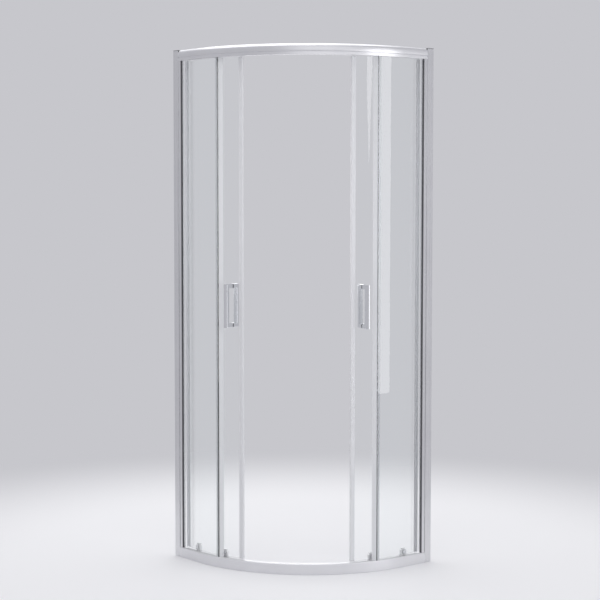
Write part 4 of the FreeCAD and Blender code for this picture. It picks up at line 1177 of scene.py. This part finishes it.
        node = f"fixed_edge_seal_{side.value}"
        turn = math.radians(front.free_edge)
        reach = front.radius - front.glass_inset
        free = front.centre + reach * np.array([math.cos(turn), math.sin(turn)])
        low, high = front.bottom_height + self.seal_gap, front.top_mouth - self.seal_gap
        course = upright_course(free, front.free_edge, low, high)
        section = self.edge_seal_section()
        on_fin = section[:, 1] > self.fin_start
        mesh = carry(node + "_strip", section, course, side, on_fin)
        clear = [palette["clear_seal"], palette["soft_fin"]]
        add_piece(node + "_strip", mesh, node, "clear_seal", clear, clear=True)


@dataclass
class Door:
    """One sliding door as it stands open: its glass, its seals and its handles."""

    palette: Palette
    side: Side
    centre: tuple[float, float] = (-203.62759, 199.16164)
    radius: float = 524.0
    swing: float = 21.89889
    tip: float = -45.91848
    trail: float = -78.61207
    seal_low: float = 40.5
    seal_high: float = 1907.5
    magnet_ease: float = 0.35
    magnet_half: float = 6.0
    magnet_head: float = 8.0
    magnet_bevel: float = 2.0
    fin_reach: float = 11.8
    fin_lean: float = 3.0
    fin_tip: float = 1.0
    hole_crease: float = 20.0
    edge_slant: float = 30.0
    handle_angle: float = -50.72958
    handle_foot: float = 3.6
    handle_standoff: float = 32.5
    handle_height: float = 990.0
    handle_spacing: float = 146.0
    handle_width: float = 16.0
    handle_round: float = 4.0

    def station(self, angle: float) -> tuple[np.ndarray, float]:
        """Where a place on the door stands with the door open.

        Args:
            angle: Its angle on the bend with the door closed, in degrees.

        Returns:
            The point of the plan in mid-glass, and the outward direction in degrees.
        """
        outward = angle - self.swing
        turn = math.radians(outward)
        spoke = np.array([math.cos(turn), math.sin(turn)])
        return np.array(self.centre) + self.radius * spoke, outward

    def magnet_section(self) -> np.ndarray:
        """Clip with a bevelled magnetic head along the closing edge.

        Returns:
            The section.
        """
        half, head, bevel = self.magnet_half, self.magnet_head, self.magnet_bevel
        tip = bevel / 2
        outer_half = [(CLIP.outer, 0.0), (half, bevel), (half, head - tip), (half - tip, head)]
        inner_half = [(-across, along) for across, along in reversed(outer_half)]
        return CLIP.section([*outer_half, *inner_half], -1, self.magnet_ease)

    def trailing_section(self) -> np.ndarray:
        """Clip with a fin towards the fixed pane along the trailing edge.

        Returns:
            The section.
        """
        outer, wall, fin, lean = CLIP.outer, CLIP.wall, self.fin_reach, self.fin_lean
        fin_corners = [(outer, 0.0), (fin, lean), (fin, lean - self.fin_tip)]
        return CLIP.section([*fin_corners, (outer, -wall), (-outer, -wall)], 1)

    def handle_mesh(self, name: str, way: int) -> Mesh:
        """A pull handle: a rounded square bar in a C with mitred corners.

        The middle of the bar goes from one foot straight out, up the grip and back.  At a foot the
        section's first axis points away from the grip's middle, and at a mitre it is that
        direction plus the outward one, which is the bisector made longer by the root of two.

        Args:
            name: The name of the mesh.
            way: 1 for the handle outside the glass and -1 for the one inside.

        Returns:
            The finished mesh.
        """
        place, outward = self.station(self.handle_angle)
        turn = math.radians(outward)
        out = np.array([math.cos(turn), math.sin(turn), 0.0]) * way
        across = np.array([-math.sin(turn), math.cos(turn), 0.0])
        up = np.array([0.0, 0.0, 1.0])
        half, foot, standoff = self.handle_spacing / 2, self.handle_foot, self.handle_standoff
        reach = np.array([foot, standoff, standoff, foot])
        level = self.handle_height + np.array([-half, -half, half, half])
        places = np.array([*place, 0.0]) + reach[:, None] * out + level[:, None] * up
        first = np.stack([-up, out - up, out + up, up])
        distance = np.cumsum([0.0, standoff - foot, 2 * half, standoff - foot])
        edge = self.handle_width / 2
        corners = [(-edge, -edge), (edge, -edge), (edge, edge), (-edge, edge)]
        section = soften(trace(corners), self.handle_round, 5)
        course = Course(places, first, np.tile(across, (4, 1)), distance)
        return carry(name, section, course, self.side)

    def glass_mesh(self) -> Mesh:
        """The bent, drilled pane, with the second material on its upright edges and in its holes.

        A face belongs to these if its normal is more than edge_slant off the line from the centre
        of the bend and it is not at the top or the foot of the pane.

        Returns:
            The finished mesh.
        """
        mesh = welded_copy(f"door_glass_{self.side.value}", self.hole_crease)
        centres, normals = np.empty((2, len(mesh.polygons), 3), np.float32)
        mesh.polygons.foreach_get("center", centres.ravel())
        mesh.polygons.foreach_get("normal", normals.ravel())
        spoke = centres - self.side.place(np.array([*self.centre, 0.0])) * MM
        spoke[:, 2] = 0.0
        spoke /= np.linalg.norm(spoke, axis=1, keepdims=True)
        slant = math.radians(self.edge_slant)
        off = np.abs((spoke * normals).sum(axis=1)) < math.cos(slant)
        low, high = centres[:, 2].min(), centres[:, 2].max()
        inside = (centres[:, 2] > low + MM) & (centres[:, 2] < high - MM)
        mesh.polygons.foreach_set("material_index", (off & inside).astype(np.int32))
        return mesh

    def build(self) -> None:
        """Make the glass, the two seals and the two handles."""
        palette, tag = self.palette, self.side.value
        node = f"door_glass_{tag}"
        glass = [palette["clear_glass"], palette["door_edge"]]
        add_piece(node + "_pane", self.glass_mesh(), node, "clear_glass", glass, clear=True)

        milky, soft = palette["magnet_strip"], palette["soft_fin"]
        for stem, angle, section, slot, finish in (
            ("magnet_seal_", self.tip, self.magnet_section(), "magnet_strip", milky),
            ("trailing_seal_", self.trail, self.trailing_section(), "clear_seal", soft),
        ):
            node = stem + tag
            place, outward = self.station(angle)
            course = upright_course(place, outward, self.seal_low, self.seal_high)
            mesh = carry(node + "_strip", section, course, self.side)
            add_piece(node + "_strip", mesh, node, slot, [finish], clear=True)

        chrome = [palette["handle_chrome"]]
        for node, way in ((f"handle_outer_{tag}", 1), (f"handle_inner_{tag}", -1)):
            mesh = self.handle_mesh(node + "_bar", way)
            add_piece(node + "_bar", mesh, node, "handle_chrome", chrome)


@dataclass
class Fittings:
    """The CAD nodes that keep their own shape: welded, smoothed, eased and finished."""

    palette: Palette

    EASED = {"wall_profile": 0.4, "side_jamb": 0.3, "bottom_roller": 0.5, "open_stops": 0.4}

    def build(self) -> None:
        """Finish every node that nothing stands for yet."""
        table = {row["node"]: row["material_slot"] for row in frame["record"]["subparts"]}
        for node, slot in table.items():
            if frame["nodes"][node].hide_render:
                continue
            width = next((w for stem, w in self.EASED.items() if node.startswith(stem)), 0.0)
            finish = [self.palette[slot]]
            add_piece(node + "_fine", welded_copy(node), node, slot, finish, width)


# ---------------------------------------------------------------- studio


@dataclass(frozen=True)
class Lamp:
    """A soft rectangular lamp that points at the middle of the enclosure, with sizes in metres.

    glow is how bright its face is, where 1 is white: watts over pi and square metres.
    """

    place: tuple[float, float, float]
    width: float
    height: float
    glow: float
    aim: tuple[float, float, float] = (0.0, 0.0, 1.0)

    def hang(self, name: str) -> None:
        """Put the lamp up.  Only what it lights and what mirrors it show that it is there.

        Args:
            name: The name of the lamp.
        """
        data = bpy.data.lights.new(name, "AREA")
        data.shape = "RECTANGLE"
        data.size, data.size_y = self.width, self.height
        data.energy = self.glow * math.pi * self.width * self.height
        lamp = put(name, data)
        lamp.visible_camera = False
        lamp.visible_transmission = False
        lamp.location = self.place
        ahead = Vector(self.aim) - Vector(self.place)
        lamp.rotation_euler = ahead.to_track_quat("-Z", "Y").to_euler()


LAMPS = {
    "overhead_lamp": Lamp((-0.6, -0.2, 4.4), 4.4, 4.4, 1.4),
    "front_lamp": Lamp((6.2, -3.6, 3.0), 7.0, 4.0, 0.5),
    "right_lamp": Lamp((4.4, 1.65, 1.35), 1.5, 2.5, 2.9),
    "rear_lamp": Lamp((-3.65, 3.0, 1.3), 6.0, 1.2, 2.2),
}


@dataclass
class Studio:
    """Plain pale floor, soft lamps, pale surroundings and the camera of the photograph."""

    backdrop: str = "#c7c7cc"
    floor: str = "#ececf0"
    floor_radius: float = 14.0
    floor_corners: int = 96
    fade_start: float = 1.1
    fade_end: float = 2.6
    ambient: float = 0.56
    lens: float = 94.61
    camera_place: tuple[float, float, float] = (4.6523, -3.8124, 1.4028)
    camera_turn: tuple[float, float, float] = (-50.745, -3.826, 0.043)

    def seen_ray(self, tree: NodeTree) -> NodeSocket:
        """1 for camera rays and for rays reflected by gloss or passed by glass, else 0.

        Args:
            tree: The node tree that asks.

        Returns:
            The socket with that number.
        """
        rays = add_node(tree, "LightPath").outputs
        seen = rays["Is Camera Ray"]
        for kind in ("Is Glossy Ray", "Is Transmission Ray"):
            either = {0: seen, 1: rays[kind]}
            seen = add_node(tree, "Math", either, operation="MAXIMUM").outputs[0]
        return seen

    def make_world(self) -> None:
        """Surroundings that light evenly and look like the pale backdrop."""
        world = bpy.data.worlds.new("pale_surroundings")
        world.use_nodes = True
        tree = world.node_tree
        tree.nodes.clear()
        white, backdrop = linear("#ffffff"), linear(self.backdrop)
        light = add_node(tree, "Background", {"Color": white, "Strength": self.ambient})
        seen = add_node(tree, "Background", {"Color": backdrop, "Strength": 1.0})
        either = {0: self.seen_ray(tree), 1: light.outputs[0], 2: seen.outputs[0]}
        mix = add_node(tree, "MixShader", either)
        add_node(tree, "OutputWorld", {"Surface": mix.outputs[0]})
        bpy.context.scene.world = world

    def floor_material(self) -> Material:
        """A pale matt paint that fades into the backdrop away from the enclosure.

        Returns:
            The material.
        """
        recipe = Recipe("pale_floor")
        tree = recipe.tree
        away = add_node(tree, "VectorMath", {0: recipe.places["Object"]}, operation="LENGTH")
        fade = add_node(
            tree,
            "MapRange",
            {0: away.outputs["Value"], 1: self.fade_start, 2: self.fade_end, 3: 0.0, 4: 1.0},
            interpolation_type="SMOOTHSTEP",
        )
        both = {0: fade.outputs[0], 1: self.seen_ray(tree)}
        share = add_node(tree, "Math", both, operation="MULTIPLY")
        paint = {"Base Color": linear(self.floor), "Roughness": 0.7}
        matt = add_node(tree, "BsdfPrincipled", paint)
        glow = add_node(tree, "Emission", {"Color": linear(self.backdrop), "Strength": 1.0})
        either = {0: share.outputs[0], 1: matt.outputs[0], 2: glow.outputs[0]}
        return recipe.close(add_node(tree, "MixShader", either).outputs[0])

    def make_floor(self) -> None:
        """A round floor under the enclosure."""
        count = self.floor_corners
        angles = np.linspace(0, 2 * math.pi, count, endpoint=False)
        rim = np.stack([np.cos(angles), np.sin(angles), np.zeros(count)], axis=1)
        mesh = bpy.data.meshes.new("studio_floor")
        mesh.from_pydata((rim * self.floor_radius).tolist(), [], [list(range(count))])
        mesh.materials.append(self.floor_material())
        floor = put("studio_floor", mesh)

    def make_camera(self) -> None:
        """The camera found from the edges of the enclosure in the photograph.

        camera_turn holds its compass angle from the y axis, its climb and its roll, in degrees.
        """
        data = bpy.data.cameras.new("photo_camera")
        data.sensor_width = 36.0
        data.lens = self.lens
        data.clip_end = 60.0
        yaw, pitch, roll = (math.radians(angle) for angle in self.camera_turn)
        level = Vector((math.sin(yaw), math.cos(yaw), 0.0)) * math.cos(pitch)
        ahead = level + Vector((0.0, 0.0, math.sin(pitch)))
        right = Vector((math.cos(yaw), -math.sin(yaw), 0.0))
        up = right.cross(ahead)
        tilted = right * math.cos(roll) + up * math.sin(roll)
        over = up * math.cos(roll) - right * math.sin(roll)
        turn = Matrix((tilted, over, -ahead)).transposed().to_4x4()
        camera = put("photo_camera", data)
        camera.matrix_world = Matrix.Translation(self.camera_place) @ turn
        bpy.context.scene.camera = camera

    def build(self) -> None:
        """Set the whole studio up."""
        self.make_world()
        self.make_floor()
        for name, lamp in LAMPS.items():
            lamp.hang(name)
        self.make_camera()
        bpy.context.scene.view_settings.view_transform = "Standard"


def main() -> None:
    """Build every group of pieces in order."""
    logging.basicConfig(level=logging.INFO, format="%(name)s: %(message)s")
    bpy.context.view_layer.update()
    palette = {name: finish.make() for name, finish in FINISHES.items()}
    front = Front()
    Rails(palette, front).build()
    for side in Side:
        FixedPane(palette, front, side).build()
        Door(palette, side).build()
    Fittings(palette).build()
    Studio().build()


if __name__ == "__main__":
    main()
